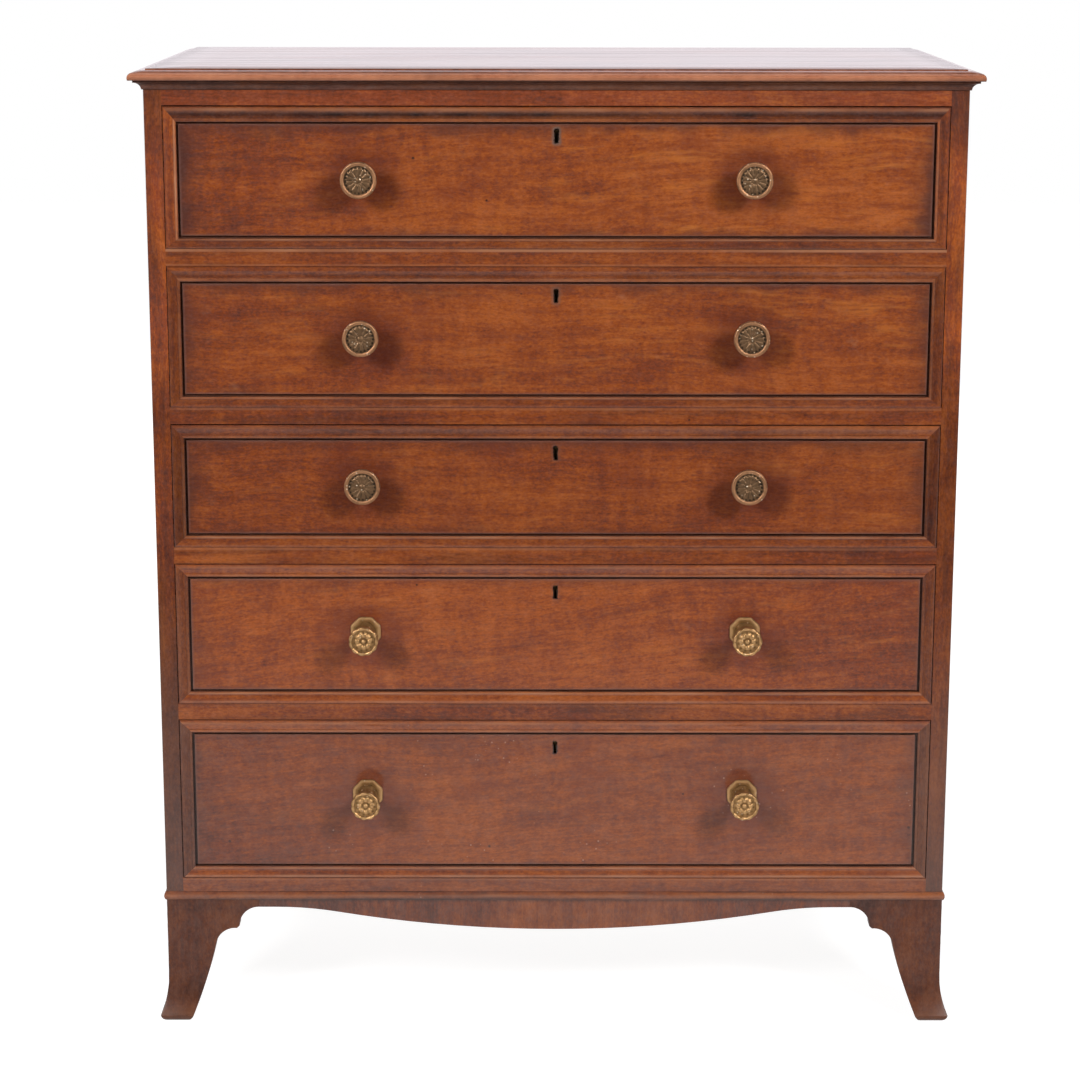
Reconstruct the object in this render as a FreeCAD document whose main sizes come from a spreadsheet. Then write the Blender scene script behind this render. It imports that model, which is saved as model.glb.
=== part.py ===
# Chest of five long drawers: a mahogany carcase on splayed bracket feet, drawer fronts with a raised
# block inside a mitred moulded border, cast brass knobs and a lock in each drawer.
# Every piece is drawn with y = 0 at the carcase's front face and z = 0 at the floor, or, in a drawer,
# at the underside of its opening. The placements carry the pieces to the chest's own frame: +Z up,
# the front towards -Y, the origin under the middle of the whole chest.
import FreeCAD, Part
import math
import os
import re
import Sketcher

doc = FreeCAD.newDocument("Chest")
sheet = doc.addObject("Spreadsheet::Sheet", "Sizes")

# Driving sizes in millimetres, and in degrees for the two slopes.
driving = [
    ("chestHeight", 1219, "floor to the top's upper face"),
    ("carcaseWidth", 1000, "over the two side panels"),
    ("carcaseDepth", 536, "front face to back boards"),
    ("knobReach1", 38, "knob faces in front of the carcase, upper three drawers"),
    ("knobReach2", 52, "knob faces in front of the carcase, lower two drawers"),
    ("topThickness", 13.5, "top board"),
    ("topOverhang", 17, "nose of the top board beyond the carcase"),
    ("topStepSet", 3, "step above the ovolo, behind the carcase face"),
    ("noseRadius", 6.5, "rounded nose of the top board"),
    ("noseHeight", 2.9, "nose's tip above the board's underside"),
    ("noseAngle", 22, "slope where the nose meets the ovolo"),
    ("coveHeight", 11.3, "cove moulding under the top"),
    ("coveOverhang", 11, "cove moulding's reach at its top"),
    ("coveFillet", 1.9, "reach of the flat fillet below the cove"),
    ("coveFoot", 1, "height of the fillet below the cove"),
    ("coveHead", 2.8, "height of the fillet above the cove"),
    ("coveStep", 0.8, "how far the cove's head stands in from its fillet"),
    ("coveRadius", 9, "hollow of the cove"),
    ("sideThickness", 20, "side panels"),
    ("housingDepth", 5, "grooves in the side panels for rails and runners"),
    ("stileWidth", 22, "facing of each side panel's front edge"),
    ("facingThickness", 8, "front stiles"),
    ("cornerRadius", 1.6, "outer front corners of the carcase"),
    ("railArris", 0.9, "worn edges of the rails"),
    ("topRailHeight", 30.5, "rail under the top board"),
    ("railThickness", 21.5, "rails between the drawers"),
    ("railDepth", 75, "rails, front to back"),
    ("dustBoardThickness", 8, "boards between the drawers"),
    ("dustBoardTongue", 6, "dust board's edges in their grooves"),
    ("runnerWidth", 28, "runners inside the side panels"),
    ("rearRailDepth", 60, "tie rail at the back of the top"),
    ("bottomThickness", 15, "carcase bottom"),
    ("backThickness", 10, "back boards"),
    ("backBoardGap", 1.2, "joints between the back boards"),
    ("stopHeight", 6, "drawer stops above the rails"),
    ("stopLength", 28, "drawer stops, front to back"),
    ("stopWidth", 45, "drawer stops, side to side"),
    ("stopSpacing", 300, "drawer stops from the middle"),
    ("baseHeight", 161, "floor to the carcase's underside"),
    ("beadHeight", 11.3, "astragal round the foot of the carcase"),
    ("beadLip", 0.8, "astragal's thickness at its edges"),
    ("beadRadius", 8.9, "astragal's round face"),
    ("apronThickness", 20, "front and side aprons"),
    ("apronTop", 151, "underside of the aprons beside the feet"),
    ("apronFlat", 357, "front apron: level part starts here"),
    ("apronDrop", 30, "front apron's fall at the middle"),
    ("apronRadius", 1675, "front apron's middle curve"),
    ("sideApronFlat", 130, "side aprons: level part starts here"),
    ("sideApronDrop", 11, "side aprons' fall at the middle"),
    ("sideApronRadius", 640, "side aprons' middle curve"),
    ("footReach", 119, "feet along each side of the chest"),
    ("footThickness", 21, "walls of the angled feet"),
    ("sideFlare", 9.5, "sideways splay of the feet at the floor"),
    ("sideFlareStart", 55, "height where the sideways splay starts"),
    ("frontFlare", 19, "forward splay of the front feet at the floor"),
    ("frontFlareStart", 85, "height where the forward splay starts"),
    ("flareEnd", 9, "height of the widest part of the toe"),
    ("toeRadius", 10, "rounded underside of the toe"),
    ("footWidth", 31, "foot at the floor, inside the carcase line"),
    ("footHeel", 8, "eased inner edge of the foot"),
    ("legRadius", 570, "inner edge of the foot"),
    ("kneeWidth", 62, "foot's width under the knee"),
    ("kneeHeight", 99, "height under the knee"),
    ("bracketRadius", 26, "hollows of the bracket"),
    ("cuspWidth", 3, "cusp between the two hollows"),
    ("cuspDrop", 3, "fall of the cusp"),
    ("glueBlock", 30, "blocks behind feet and aprons"),
    ("apronBlockSpacing", 214, "between the blocks behind the front apron"),
    ("openingHeight1", 173.5, "drawer openings from the top down"),
    ("openingHeight2", 175.2, ""),
    ("openingHeight3", 156.3, ""),
    ("openingHeight4", 182, ""),
    ("openingHeight5", 211.5, ""),
    ("blockDrop1", 2.8, "raised blocks below the middle of their drawers, from the top down"),
    ("blockDrop2", 2.2, ""),
    ("blockDrop3", 1, ""),
    ("blockDrop4", 0, ""),
    ("blockDrop5", 0, ""),
    ("drawerGap", 1, "drawer front to opening, sides and top"),
    ("slideGap", 0.3, "drawer above its runners"),
    ("frontThickness", 20, "drawer fronts"),
    ("borderWidth", 14.5, "moulded border strips beside the blocks"),
    ("borderProud", 2.2, "border's crest in front of the rails"),
    ("borderEdgeSet", 0.4, "border's outer edge behind the rails"),
    ("crestStart", 2.9, "border's crest from its outer edge"),
    ("crestWidth", 1.2, "flat of the crest"),
    ("crestRadius", 2.9, "round outside of the crest"),
    ("hollowRadius", 15, "hollow inside the crest"),
    ("hollowProud", 0.35, "foot of the hollow in front of the rails"),
    ("hollowMargin", 3.6, "foot of the hollow from the groove"),
    ("hollowFillet", 0.7, "flat between the hollow and the lip"),
    ("lipProud", 1.1, "lip at the groove in front of the rails"),
    ("lipStart", 2.3, "lip's outer edge from the groove"),
    ("lipEnd", 1.2, "lip's inner edge from the groove"),
    ("lipRadius", 1.3, "round inside of the lip"),
    ("lipEdgeSet", 0.1, "lip's edge in the groove behind the rails"),
    ("grooveWidth", 3.8, "open groove round the raised block"),
    ("grooveDepth", 4, "depth of the groove"),
    ("blockArris", 0.9, "worn edges of the raised block"),
    ("drawerLength", 505, "drawers, front to back"),
    ("drawerSideThickness", 10, "drawer sides and backs"),
    ("frontLap", 8, "drawer front in front of the side's end"),
    ("sideDrop", 4, "drawer sides below the opening's top"),
    ("backDrop", 9, "drawer backs below the opening's top"),
    ("sideArris", 1.5, "rounded top edges of the drawer sides"),
    ("pinNarrow", 6, "dovetail pins at their thin end"),
    ("pinSlope", 11, "slope of the dovetails"),
    ("drawerBottomRise", 9, "drawer bottom above the sides' lower edge"),
    ("drawerBottomThickness", 7, "drawer bottoms"),
    ("bottomGroove", 5, "grooves for the drawer bottoms"),
    ("bottomBackSet", 2, "drawer bottom ends before the drawer's back"),
    ("knobSpacing", 478, "between the two knobs of a drawer"),
    ("knobRise1", 0, "knobs above the middle of their drawers, from the top down"),
    ("knobRise2", 3.2, ""),
    ("knobRise3", 6, ""),
    ("knobRise4", 3.5, ""),
    ("knobRise5", 7.4, ""),
    ("knobRadius1", 22.3, "knob faces, upper three drawers"),
    ("knobRadius2", 18.5, "knob faces, lower two drawers"),
    ("knobRim", 4.8, "rim round the knob's sunk face"),
    ("knobSunk", 2.4, "depth of the sunk face"),
    ("knobHead", 8, "thickness of the knob's head"),
    ("bossRadius", 3.4, "boss in the middle of the knob's face"),
    ("bossFoot", 4.8, "boss at the sunk face"),
    ("bossSet", 1, "boss behind the knob's face"),
    ("rimSlope", 0.9, "slope of the rim's inner wall"),
    ("rimLip", 0.5, "rounding of the rim's inner edge"),
    ("rimRound", 2, "rounding of the rim's outer edge"),
    ("headRound", 3, "bevel behind the knob's head"),
    ("neckRadius", 7.5, "knob's waist"),
    ("neckTop", 1.5, "waist's spread towards the head"),
    ("neckFoot", 1.2, "waist's spread towards the backplate"),
    ("footSpread", 5, "knob's foot beyond its waist"),
    ("plateRadius1", 15, "round backplates"),
    ("plateRadius2", 20.3, "eight-sided backplates, over the corners"),
    ("plateThickness", 3.2, "knob backplates"),
    ("shankRadius", 3, "threaded shank of a knob"),
    ("shankHole", 3.5, "hole for the shank"),
    ("shankTail", 2, "shank's end behind its nut"),
    ("threadGap", 0.05, "nut on its shank"),
    ("nutWidth", 12, "square nut"),
    ("nutHeight", 5, "square nut"),
    ("lockWidth", 60, "lock case"),
    ("lockHeight", 54, "lock case below the selvedge"),
    ("lockDepth", 10, "lock case, front to back"),
    ("lockWall", 1.5, "plates of the lock case"),
    ("lockProud", 1, "lock case behind the back of the drawer front"),
    ("selvedgeWidth", 66, "lock plate in the drawer front's top edge"),
    ("selvedgeThickness", 2, "lock plate in the drawer front's top edge"),
    ("boltWidth", 22, "lock bolt"),
    ("boltThickness", 4, "lock bolt"),
    ("boltHeight", 22, "lock bolt"),
    ("boltSunk", 0.5, "bolt's end below the plate when drawn back"),
    ("boltGap", 0.4, "bolt in its slot"),
    ("mortiseDepth", 6.5, "bolt's mortise in the rail above"),
    ("mortiseGap", 2, "mortise round the bolt"),
    ("keyDrop", 30, "keyhole's centre below the drawer's top edge"),
    ("keyRadius", 3.2, "round head of the keyhole"),
    ("keySlotWidth", 3.4, "slot of the keyhole"),
    ("keySlotLength", 13.5, "slot of the keyhole"),
    ("keyMargin", 0.4, "lock's keyhole inside the drawer front's"),
    ("keyPinRadius", 1.5, "pin that guides the key"),
    ("past", 1, "how far a cut runs on beyond a face"),
]
sizeNames = {name for name, size, use in driving}
for row, (name, size, use) in enumerate(driving, start=1):
    sheet.set(f"A{row}", name)
    sheet.set(f"B{row}", str(size))
    sheet.set(f"C{row}", use)
    sheet.setAlias(f"B{row}", name)
doc.recompute()

# Reads what an expression of the sizes comes to.
ruler = doc.addObject("App::FeaturePython", "Ruler")
ruler.addProperty("App::PropertyFloat", "Reading")

V = FreeCAD.Vector
upright = FreeCAD.Rotation()
backwards = FreeCAD.Rotation(V(1, 0, 0), -90)  # turns +Z to +Y
sameFace = 0.01  # points nearer a face than this lie on it
longEdge = 100  # no short edge is rounded where a long one is wanted
nodes = {}


def sized(words):
    # An expression for FreeCAD: each size in it is read from the sheet.
    return re.sub(r"[A-Za-z]\w*", lambda m: f"Sizes.{m[0]}" if m[0] in sizeNames else m[0], words)


def bind(thing, path, words):
    thing.setExpression(path, sized(words))


def value(words):
    bind(ruler, "Reading", words)
    ruler.recompute()
    return ruler.Reading


# Places used by many pieces.
frontFace = "(knobReach2 - carcaseDepth) / 2"
halfWidth = "(carcaseWidth / 2)"
innerSide = "(carcaseWidth / 2 - sideThickness)"
housingEnd = "(carcaseWidth / 2 - sideThickness + housingDepth)"
halfOpening = "(carcaseWidth / 2 - stileWidth)"
backBoardFace = "(carcaseDepth - backThickness)"
underTop = "(chestHeight - topThickness)"
openingTop = {1: "(chestHeight - topThickness - topRailHeight)"}
openingBottom = {}
drawers = range(1, 6)
for number in drawers:
    openingBottom[number] = f"({openingTop[number]} - openingHeight{number})"
    openingTop[number + 1] = f"({openingBottom[number]} - railThickness)"


def turn(degrees, axis=V(0, 0, 1)):
    return FreeCAD.Rotation(axis, degrees)


def placed(thing, x="0", y=frontFace, z="0", turned=upright):
    thing.Placement = FreeCAD.Placement(V(), turned)
    bind(thing, "Placement.Base.x", x)
    bind(thing, "Placement.Base.y", y)
    bind(thing, "Placement.Base.z", z)
    return thing


def piece(label, **place):
    body = doc.addObject("PartDesign::Body", label)
    body.Label = label
    return placed(body, **place)


def keep(label, thing):
    thing.Label = label
    nodes[label] = thing
    return thing


def gather(label, members):
    # Several separate solids that share one name.
    group = doc.addObject("Part::Compound", label)
    group.Links = members
    return keep(label, group)


def block(body, name, low, high, cut=False):
    kind = "PartDesign::SubtractiveBox" if cut else "PartDesign::AdditiveBox"
    feature = body.newObject(kind, name)
    for axis, side, start, end in zip("xyz", ("Length", "Width", "Height"), low, high):
        bind(feature, side, f"({end}) - ({start})")
        bind(feature, f"Placement.Base.{axis}", start)
    return feature


def drill(body, name, radius, start, length, cut=True):
    # A round hole, or a round pin, that runs backwards from its start.
    kind = "PartDesign::SubtractiveCylinder" if cut else "PartDesign::AdditiveCylinder"
    feature = body.newObject(kind, name)
    feature.Placement = FreeCAD.Placement(V(), backwards)
    bind(feature, "Radius", radius)
    bind(feature, "Height", length)
    for axis, position in zip("xyz", start):
        bind(feature, f"Placement.Base.{axis}", position)
    return feature


def ease(body, feature, name, radius, wanted):
    # Rounds the edges whose middle point and direction are wanted.
    doc.recompute()
    edges = []
    for index, edge in enumerate(feature.Shape.Edges, start=1):
        ends = [vertex.Point for vertex in edge.Vertexes]
        if len(ends) == 2 and wanted((ends[0] + ends[1]) * 0.5, ends[1] - ends[0]):
            edges.append(f"Edge{index}")
    rounding = body.newObject("PartDesign::Fillet", name)
    rounding.Base = (feature, edges)
    bind(rounding, "Radius", radius)
    return rounding


def outline(body, name, plane, corners, arcs=None, offset="0"):
    # A closed sketch through corners. arcs gives, for the stretch that leaves a corner, its radius
    # and the side on which its centre lies: 1 to the left of the way round, -1 to the right.
    arcs = arcs or {}
    sketch = body.newObject("Sketcher::SketchObject", name)
    origin = [part for part in body.Origin.OriginFeatures if part.Role == plane][0]
    sketch.AttachmentSupport = [(origin, "")]
    sketch.MapMode = "FlatFace"
    bind(sketch, "AttachmentOffset.Base.z", offset)
    points = [V(value(x), value(y), 0) for x, y in corners]
    ends = []
    for index, start in enumerate(points):
        end = points[(index + 1) % len(points)]
        if index not in arcs:
            geometry = sketch.addGeometry(Part.LineSegment(start, end))
            ends.append((geometry, 1, 2))
            continue
        radius, side = arcs[index]
        chord = end - start
        rise = math.sqrt(value(radius) ** 2 - (chord.Length / 2) ** 2)
        centre = (start + end) * 0.5 + V(-chord.y, chord.x, 0).normalize() * rise * side
        first, last = (start, end) if side > 0 else (end, start)
        angles = [math.atan2(point.y - centre.y, point.x - centre.x) for point in (first, last)]
        if angles[1] < angles[0]:
            angles[1] += 2 * math.pi
        circle = Part.Circle(centre, V(0, 0, 1), value(radius))
        geometry = sketch.addGeometry(Part.ArcOfCircle(circle, angles[0], angles[1]))
        ends.append((geometry, 1, 2) if side > 0 else (geometry, 2, 1))
        limit = sketch.addConstraint(Sketcher.Constraint("Radius", geometry, value(radius)))
        bind(sketch, f"Constraints[{limit}]", radius)
    for index, (geometry, first, last) in enumerate(ends):
        following, start, finish = ends[(index + 1) % len(ends)]
        sketch.addConstraint(Sketcher.Constraint("Coincident", geometry, last, following, start))
    for (geometry, first, last), corner in zip(ends, corners):
        for kind, words in zip(("DistanceX", "DistanceY"), corner):
            limit = sketch.addConstraint(
                Sketcher.Constraint(kind, -1, 1, geometry, first, value(words)))
            bind(sketch, f"Constraints[{limit}]", words)
    return sketch


def pad(body, name, sketch, length, back=False):
    feature = body.newObject("PartDesign::Pad", name)
    feature.Profile = sketch
    feature.Reversed = back
    bind(feature, "Length", length)
    sketch.Visibility = False
    return feature


def cutAlong(body, name, sketch):
    # Takes the outline away along the whole piece.
    feature = body.newObject("PartDesign::Pocket", name)
    feature.Profile = sketch
    feature.Midplane = True
    feature.Type = "ThroughAll"
    return feature


def cutIn(body, name, sketch, depth, back=False):
    feature = body.newObject("PartDesign::Pocket", name)
    feature.Profile = sketch
    feature.Reversed = back
    bind(feature, "Length", depth)
    return feature


def repeat(body, name, feature, sketch, pitch, count):
    # Copies a feature upwards.
    pattern = body.newObject("PartDesign::LinearPattern", name)
    pattern.Originals = [feature]
    pattern.Direction = (sketch, ["V_Axis"])
    pattern.Mode = "Spacing"
    pattern.Occurrences = count
    bind(pattern, "Offset", pitch)
    body.Tip = pattern
    return pattern


def fantail(body, name, offset, ends, centre):
    # One dovetail or pin seen from the side: (distance back, width) at each end.
    (near, nearWidth), (far, farWidth) = ends
    return outline(body, name, "YZ_Plane", [
        (near, f"{centre} - ({nearWidth}) / 2"),
        (far, f"{centre} - ({farWidth}) / 2"),
        (far, f"{centre} + ({farWidth}) / 2"),
        (near, f"{centre} + ({nearWidth}) / 2"),
    ], offset=offset)


def revolve(body, name, sketch):
    feature = body.newObject("PartDesign::Revolution", name)
    feature.Profile = sketch
    feature.ReferenceAxis = (sketch, ["V_Axis"])
    feature.Angle = 360
    return feature


def across(side, inner, outer):
    # From inner to outer on the right of the chest, or the same mirrored to the left.
    return (inner, outer) if side > 0 else (f"-({outer})", f"-({inner})")


hands = (("left", -1), ("right", 1))

# Top board: a rounded nose and a shallow ovolo up to a small step, on the front and both ends.
noseBack = "topOverhang - noseRadius"
noseFoot = f"({noseBack} + sqrt(noseRadius ^ 2 - noseHeight ^ 2))"
noseMeet = f"({noseBack} + noseRadius * sin(noseAngle))"
meetHeight = "(noseHeight + noseRadius * cos(noseAngle))"
ovoloRadius = f"(({noseMeet} + topStepSet) / sin(noseAngle))"
stepHeight = f"({meetHeight} + {ovoloRadius} * (1 - cos(noseAngle)))"
topBoard = piece("top_board", z=underTop)
endShape = outline(topBoard, "EndShape", "XZ_Plane", [
    (f"-{halfWidth} - {noseFoot}", "0"),
    (f"{halfWidth} + {noseFoot}", "0"),
    (f"{halfWidth} + {noseMeet}", meetHeight),
    (f"{halfWidth} - topStepSet", stepHeight),
    (f"{halfWidth} - topStepSet", "topThickness"),
    (f"-{halfWidth} + topStepSet", "topThickness"),
    (f"-{halfWidth} + topStepSet", stepHeight),
    (f"-{halfWidth} - {noseMeet}", meetHeight),
], {1: ("noseRadius", 1), 2: (ovoloRadius, 1), 6: (ovoloRadius, 1), 7: ("noseRadius", 1)},
    offset="topOverhang")
pad(topBoard, "Board", endShape, "carcaseDepth + topOverhang", back=True)
frontEdge = outline(topBoard, "FrontEdge", "YZ_Plane", [
    (f"-{noseFoot}", "0"),
    (f"-{noseMeet}", meetHeight),
    ("topStepSet", stepHeight),
    ("topStepSet", "topThickness + past"),
    ("-2 * topOverhang", "topThickness + past"),
    ("-2 * topOverhang", "-past"),
    (f"-{noseFoot}", "-past"),
], {0: ("noseRadius", -1), 1: (ovoloRadius, -1)})
cutAlong(topBoard, "FrontNose", frontEdge)
keep("top_board", topBoard)


def wrapStrips(label, level, height, reach, profile, arcs):
    # A moulding round the front and the ends of the carcase, mitred at the two front corners.
    # profile gives points (reach, height) of the hollow side, from its foot to its head.
    outside = [(f"2 * ({reach})", f"({height}) + past"), (f"2 * ({reach})", "-past")]
    cutPoints = [(profile[0][0], "-past"), *profile, (profile[-1][0], f"({height}) + past"), *outside]
    cutArcs = {index + 1: arc for index, arc in arcs.items()}
    front = piece(f"{label}_front", z=level)
    plan = outline(front, "Plan", "XY_Plane", [
        (f"-{halfWidth}", "0"),
        (f"-{halfWidth} - ({reach})", f"-({reach})"),
        (f"{halfWidth} + ({reach})", f"-({reach})"),
        (halfWidth, "0"),
    ])
    pad(front, "Blank", plan, height)
    shape = outline(front, "Moulding", "YZ_Plane", [(f"-({x})", z) for x, z in cutPoints],
                    {index: (radius, -side) for index, (radius, side) in cutArcs.items()})
    cutAlong(front, "Moulded", shape)
    strips = [front]
    for word, side in hands:
        strip = piece(f"{label}_{word}", z=level)
        edge = halfWidth if side > 0 else f"-{halfWidth}"
        sign = "+" if side > 0 else "-"
        plan = outline(strip, "Plan", "XY_Plane", [
            (edge, "0"),
            (f"{edge} {sign} ({reach})", f"-({reach})"),
            (f"{edge} {sign} ({reach})", "carcaseDepth"),
            (edge, "carcaseDepth"),
        ])
        pad(strip, "Blank", plan, height)
        shape = outline(strip, "Moulding", "XZ_Plane", [(f"{edge} {sign} ({x})", z) for x, z in cutPoints],
                        {index: (radius, arc * side) for index, (radius, arc) in cutArcs.items()})
        cutAlong(strip, "Moulded", shape)
        strips.append(strip)
    return gather(label, strips)


# Cove under the top board: a hollow between two flat fillets.
wrapStrips("top_cove_moulding", f"{underTop} - coveHeight", "coveHeight", "coveOverhang", [
    ("coveFillet", "0"),
    ("coveFillet", "coveFoot"),
    ("coveOverhang - coveStep", "coveHeight - coveHead"),
    ("coveOverhang", "coveHeight - coveHead"),
    ("coveOverhang", "coveHeight"),
], {1: ("coveRadius", -1)})

# Side panels, grooved for the rails and runners and rebated for the back boards.
housings = [(openingTop[1], underTop), ("baseHeight", openingBottom[5])]
housings += [(openingTop[number + 1], openingBottom[number]) for number in range(1, 5)]
for word, side in hands:
    panel = piece(f"{word}_side_panel")
    low, high = across(side, innerSide, halfWidth)
    block(panel, "Board", (low, "facingThickness", "baseHeight"), (high, "carcaseDepth", underTop))
    for index, (foot, head) in enumerate(housings):
        low, high = across(side, f"{innerSide} - past", housingEnd)
        block(panel, f"Housing{index}", (low, "facingThickness - past", foot), (high, backBoardFace, head),
              cut=True)
    low, high = across(side, f"{innerSide} - past", f"{innerSide} + backThickness")
    block(panel, "Rebate", (low, backBoardFace, "baseHeight - past"),
          (high, "carcaseDepth + past", f"{underTop} + past"), cut=True)
    keep(f"{word}_side_panel", panel)

# Stiles face the front edges of the side panels.
stiles = []
for word, side in hands:
    stile = piece(f"{word}_stile")
    low, high = across(side, halfOpening, halfWidth)
    blank = block(stile, "Strip", (low, "0", "baseHeight"), (high, "facingThickness", underTop))
    outer = side * value(halfWidth)
    ease(stile, blank, "Corner", "cornerRadius",
         lambda middle, way: abs(middle.x - outer) < sameFace and abs(middle.y) < sameFace)
    stiles.append(stile)
gather("front_stiles", stiles)

boltFront = "(frontThickness - lockDepth + lockProud + lockWall + boltGap)"
boltBack = f"({boltFront} + boltThickness)"


def rail(label, foot, head, grooved, mortised):
    # Behind its face a rail runs on into the housings of the side panels.
    body = piece(label)
    block(body, "Face", (f"-{halfOpening}", "0", foot), (halfOpening, "facingThickness", head))
    last = block(body, "Body", (f"-{housingEnd}", "facingThickness", foot),
                 (housingEnd, "railDepth", head))
    if mortised:
        last = block(
            body, "BoltMortise",
            ("-boltWidth / 2 - mortiseGap", f"{boltFront} - mortiseGap", f"{foot} - past"),
            ("boltWidth / 2 + mortiseGap", f"{boltBack} + mortiseGap", f"{foot} + mortiseDepth"), cut=True)
    if grooved:
        middle = f"({foot}) + (railThickness - dustBoardThickness) / 2"
        last = block(body, "DustBoardGroove", (f"-{innerSide}", "railDepth - dustBoardTongue", middle),
                     (innerSide, "railDepth + past", f"{middle} + dustBoardThickness"), cut=True)
    ease(body, last, "Arris", "railArris",
         lambda middle, way: abs(middle.y) < sameFace and abs(way.x) > longEdge)
    return body


keep("top_rail", rail("top_rail", openingTop[1], underTop, grooved=False, mortised=True))
keep("bottom_rail", rail("bottom_rail", "baseHeight", openingBottom[5], grooved=False, mortised=False))
gather("drawer_rails", [
    rail(f"drawer_rail_{number}", openingTop[number + 1], openingBottom[number], grooved=True, mortised=True)
    for number in range(1, 5)])

rearRail = piece("rear_top_rail")
block(rearRail, "Rail", (f"-{housingEnd}", f"{backBoardFace} - rearRailDepth", f"{openingTop[1]}"),
      (housingEnd, backBoardFace, underTop))
keep("rear_top_rail", rearRail)

# Dust boards lie in grooves of the rails and runners, one below each of the upper four drawers.
dustBoards = []
dustFoot = {number: f"({openingTop[number + 1]} + (railThickness - dustBoardThickness) / 2)"
            for number in range(1, 5)}
dustEdge = f"({innerSide} - runnerWidth + dustBoardTongue)"
for number, foot in dustFoot.items():
    board = piece(f"dust_board_{number}")
    block(board, "Board", (f"-{dustEdge}", "railDepth - dustBoardTongue", foot),
          (dustEdge, backBoardFace, f"{foot} + dustBoardThickness"))
    dustBoards.append(board)
gather("dust_boards", dustBoards)

# A runner under each end of every drawer, and a kicker above each end of the top one.
runners = []
for word, side in hands:
    low, high = across(side, f"{innerSide} - runnerWidth", housingEnd)
    for number in drawers:
        foot = openingTop[number + 1] if number < 5 else "baseHeight + bottomThickness"
        runner = piece(f"{word}_runner_{number}")
        block(runner, "Strip", (low, "railDepth", foot), (high, backBoardFace, openingBottom[number]))
        if number < 5:
            grooveLow, grooveHigh = across(side, f"{innerSide} - runnerWidth - past", dustEdge)
            block(runner, "Groove", (grooveLow, "railDepth - past", dustFoot[number]),
                  (grooveHigh, f"{backBoardFace} + past", f"{dustFoot[number]} + dustBoardThickness"),
                  cut=True)
        runners.append(runner)
    kicker = piece(f"{word}_kicker")
    block(kicker, "Strip", (low, "railDepth", openingTop[1]),
          (high, f"{backBoardFace} - rearRailDepth", underTop))
    runners.append(kicker)
gather("drawer_runners", runners)

# Two stops behind each drawer front.
stops = []
for number in drawers:
    for word, side in hands:
        stop = piece(f"{word}_stop_{number}", z=openingBottom[number])
        low, high = across(side, "stopSpacing - stopWidth / 2", "stopSpacing + stopWidth / 2")
        block(stop, "Block", (low, "frontThickness + slideGap", "0"),
              (high, "frontThickness + slideGap + stopLength", "stopHeight"))
        stops.append(stop)
gather("drawer_stops", stops)

bottomBoard = piece("bottom_board")
block(bottomBoard, "Board", (f"-{housingEnd}", "railDepth", "baseHeight"),
      (housingEnd, backBoardFace, "baseHeight + bottomThickness"))
keep("bottom_board", bottomBoard)

# Back boards stand upright in the rebates of the side panels.
backBoards = []
boardCount = 5
halfBack = f"({innerSide} + backThickness)"
boardPitch = f"(2 * {halfBack} / {boardCount})"
for index in range(boardCount):
    board = piece(f"back_board_{index + 1}")
    start = f"-{halfBack} + {boardPitch} * {index}"
    block(board, "Board", (f"{start} + backBoardGap / 2", backBoardFace, "baseHeight"),
          (f"{start} + {boardPitch} - backBoardGap / 2", "carcaseDepth", underTop))
    backBoards.append(board)
gather("back_boards", backBoards)

# Astragal round the foot of the carcase.
wrapStrips("base_bead_moulding", "baseHeight", "beadHeight", "beadLip + beadRadius",
           [("beadLip", "0"), ("beadLip", "beadHeight")], {0: ("beadRadius", 1)})


def apron(label, halfLength, level, drop, radius, **place):
    # The lower edge is level beside the feet and falls through a reverse curve to the middle arc.
    body = piece(label, **place)
    sweep = f"((({level}) ^ 2 + ({drop}) ^ 2) / (2 * ({drop})))"
    meet = f"(({level}) * ({radius}) / {sweep})"
    meetLevel = f"(apronTop - ({drop}) + ({radius}) - sqrt(({radius}) ^ 2 - {meet} ^ 2))"
    shape = outline(body, "Shape", "XZ_Plane", [
        (f"-({halfLength})", "baseHeight"),
        (f"-({halfLength})", "apronTop"),
        (f"-({level})", "apronTop"),
        (f"-{meet}", meetLevel),
        (meet, meetLevel),
        (level, "apronTop"),
        (halfLength, "apronTop"),
        (halfLength, "baseHeight"),
    ], {2: (f"({sweep} - ({radius}))", -1), 3: (radius, 1), 4: (f"({sweep} - ({radius}))", -1)})
    pad(body, "Board", shape, "apronThickness", back=True)
    return body


keep("front_apron", apron("front_apron", f"{halfWidth} - footReach", "apronFlat", "apronDrop",
                          "apronRadius"))
sideAprons = []
for word, side in hands:
    sideAprons.append(apron(
        f"{word}_apron", "carcaseDepth / 2 - footReach", "sideApronFlat", "sideApronDrop", "sideApronRadius",
        x=f"{halfWidth} * {side}", y=f"{frontFace} + carcaseDepth / 2", turned=turn(90 * side)))
gather("side_aprons", sideAprons)


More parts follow.
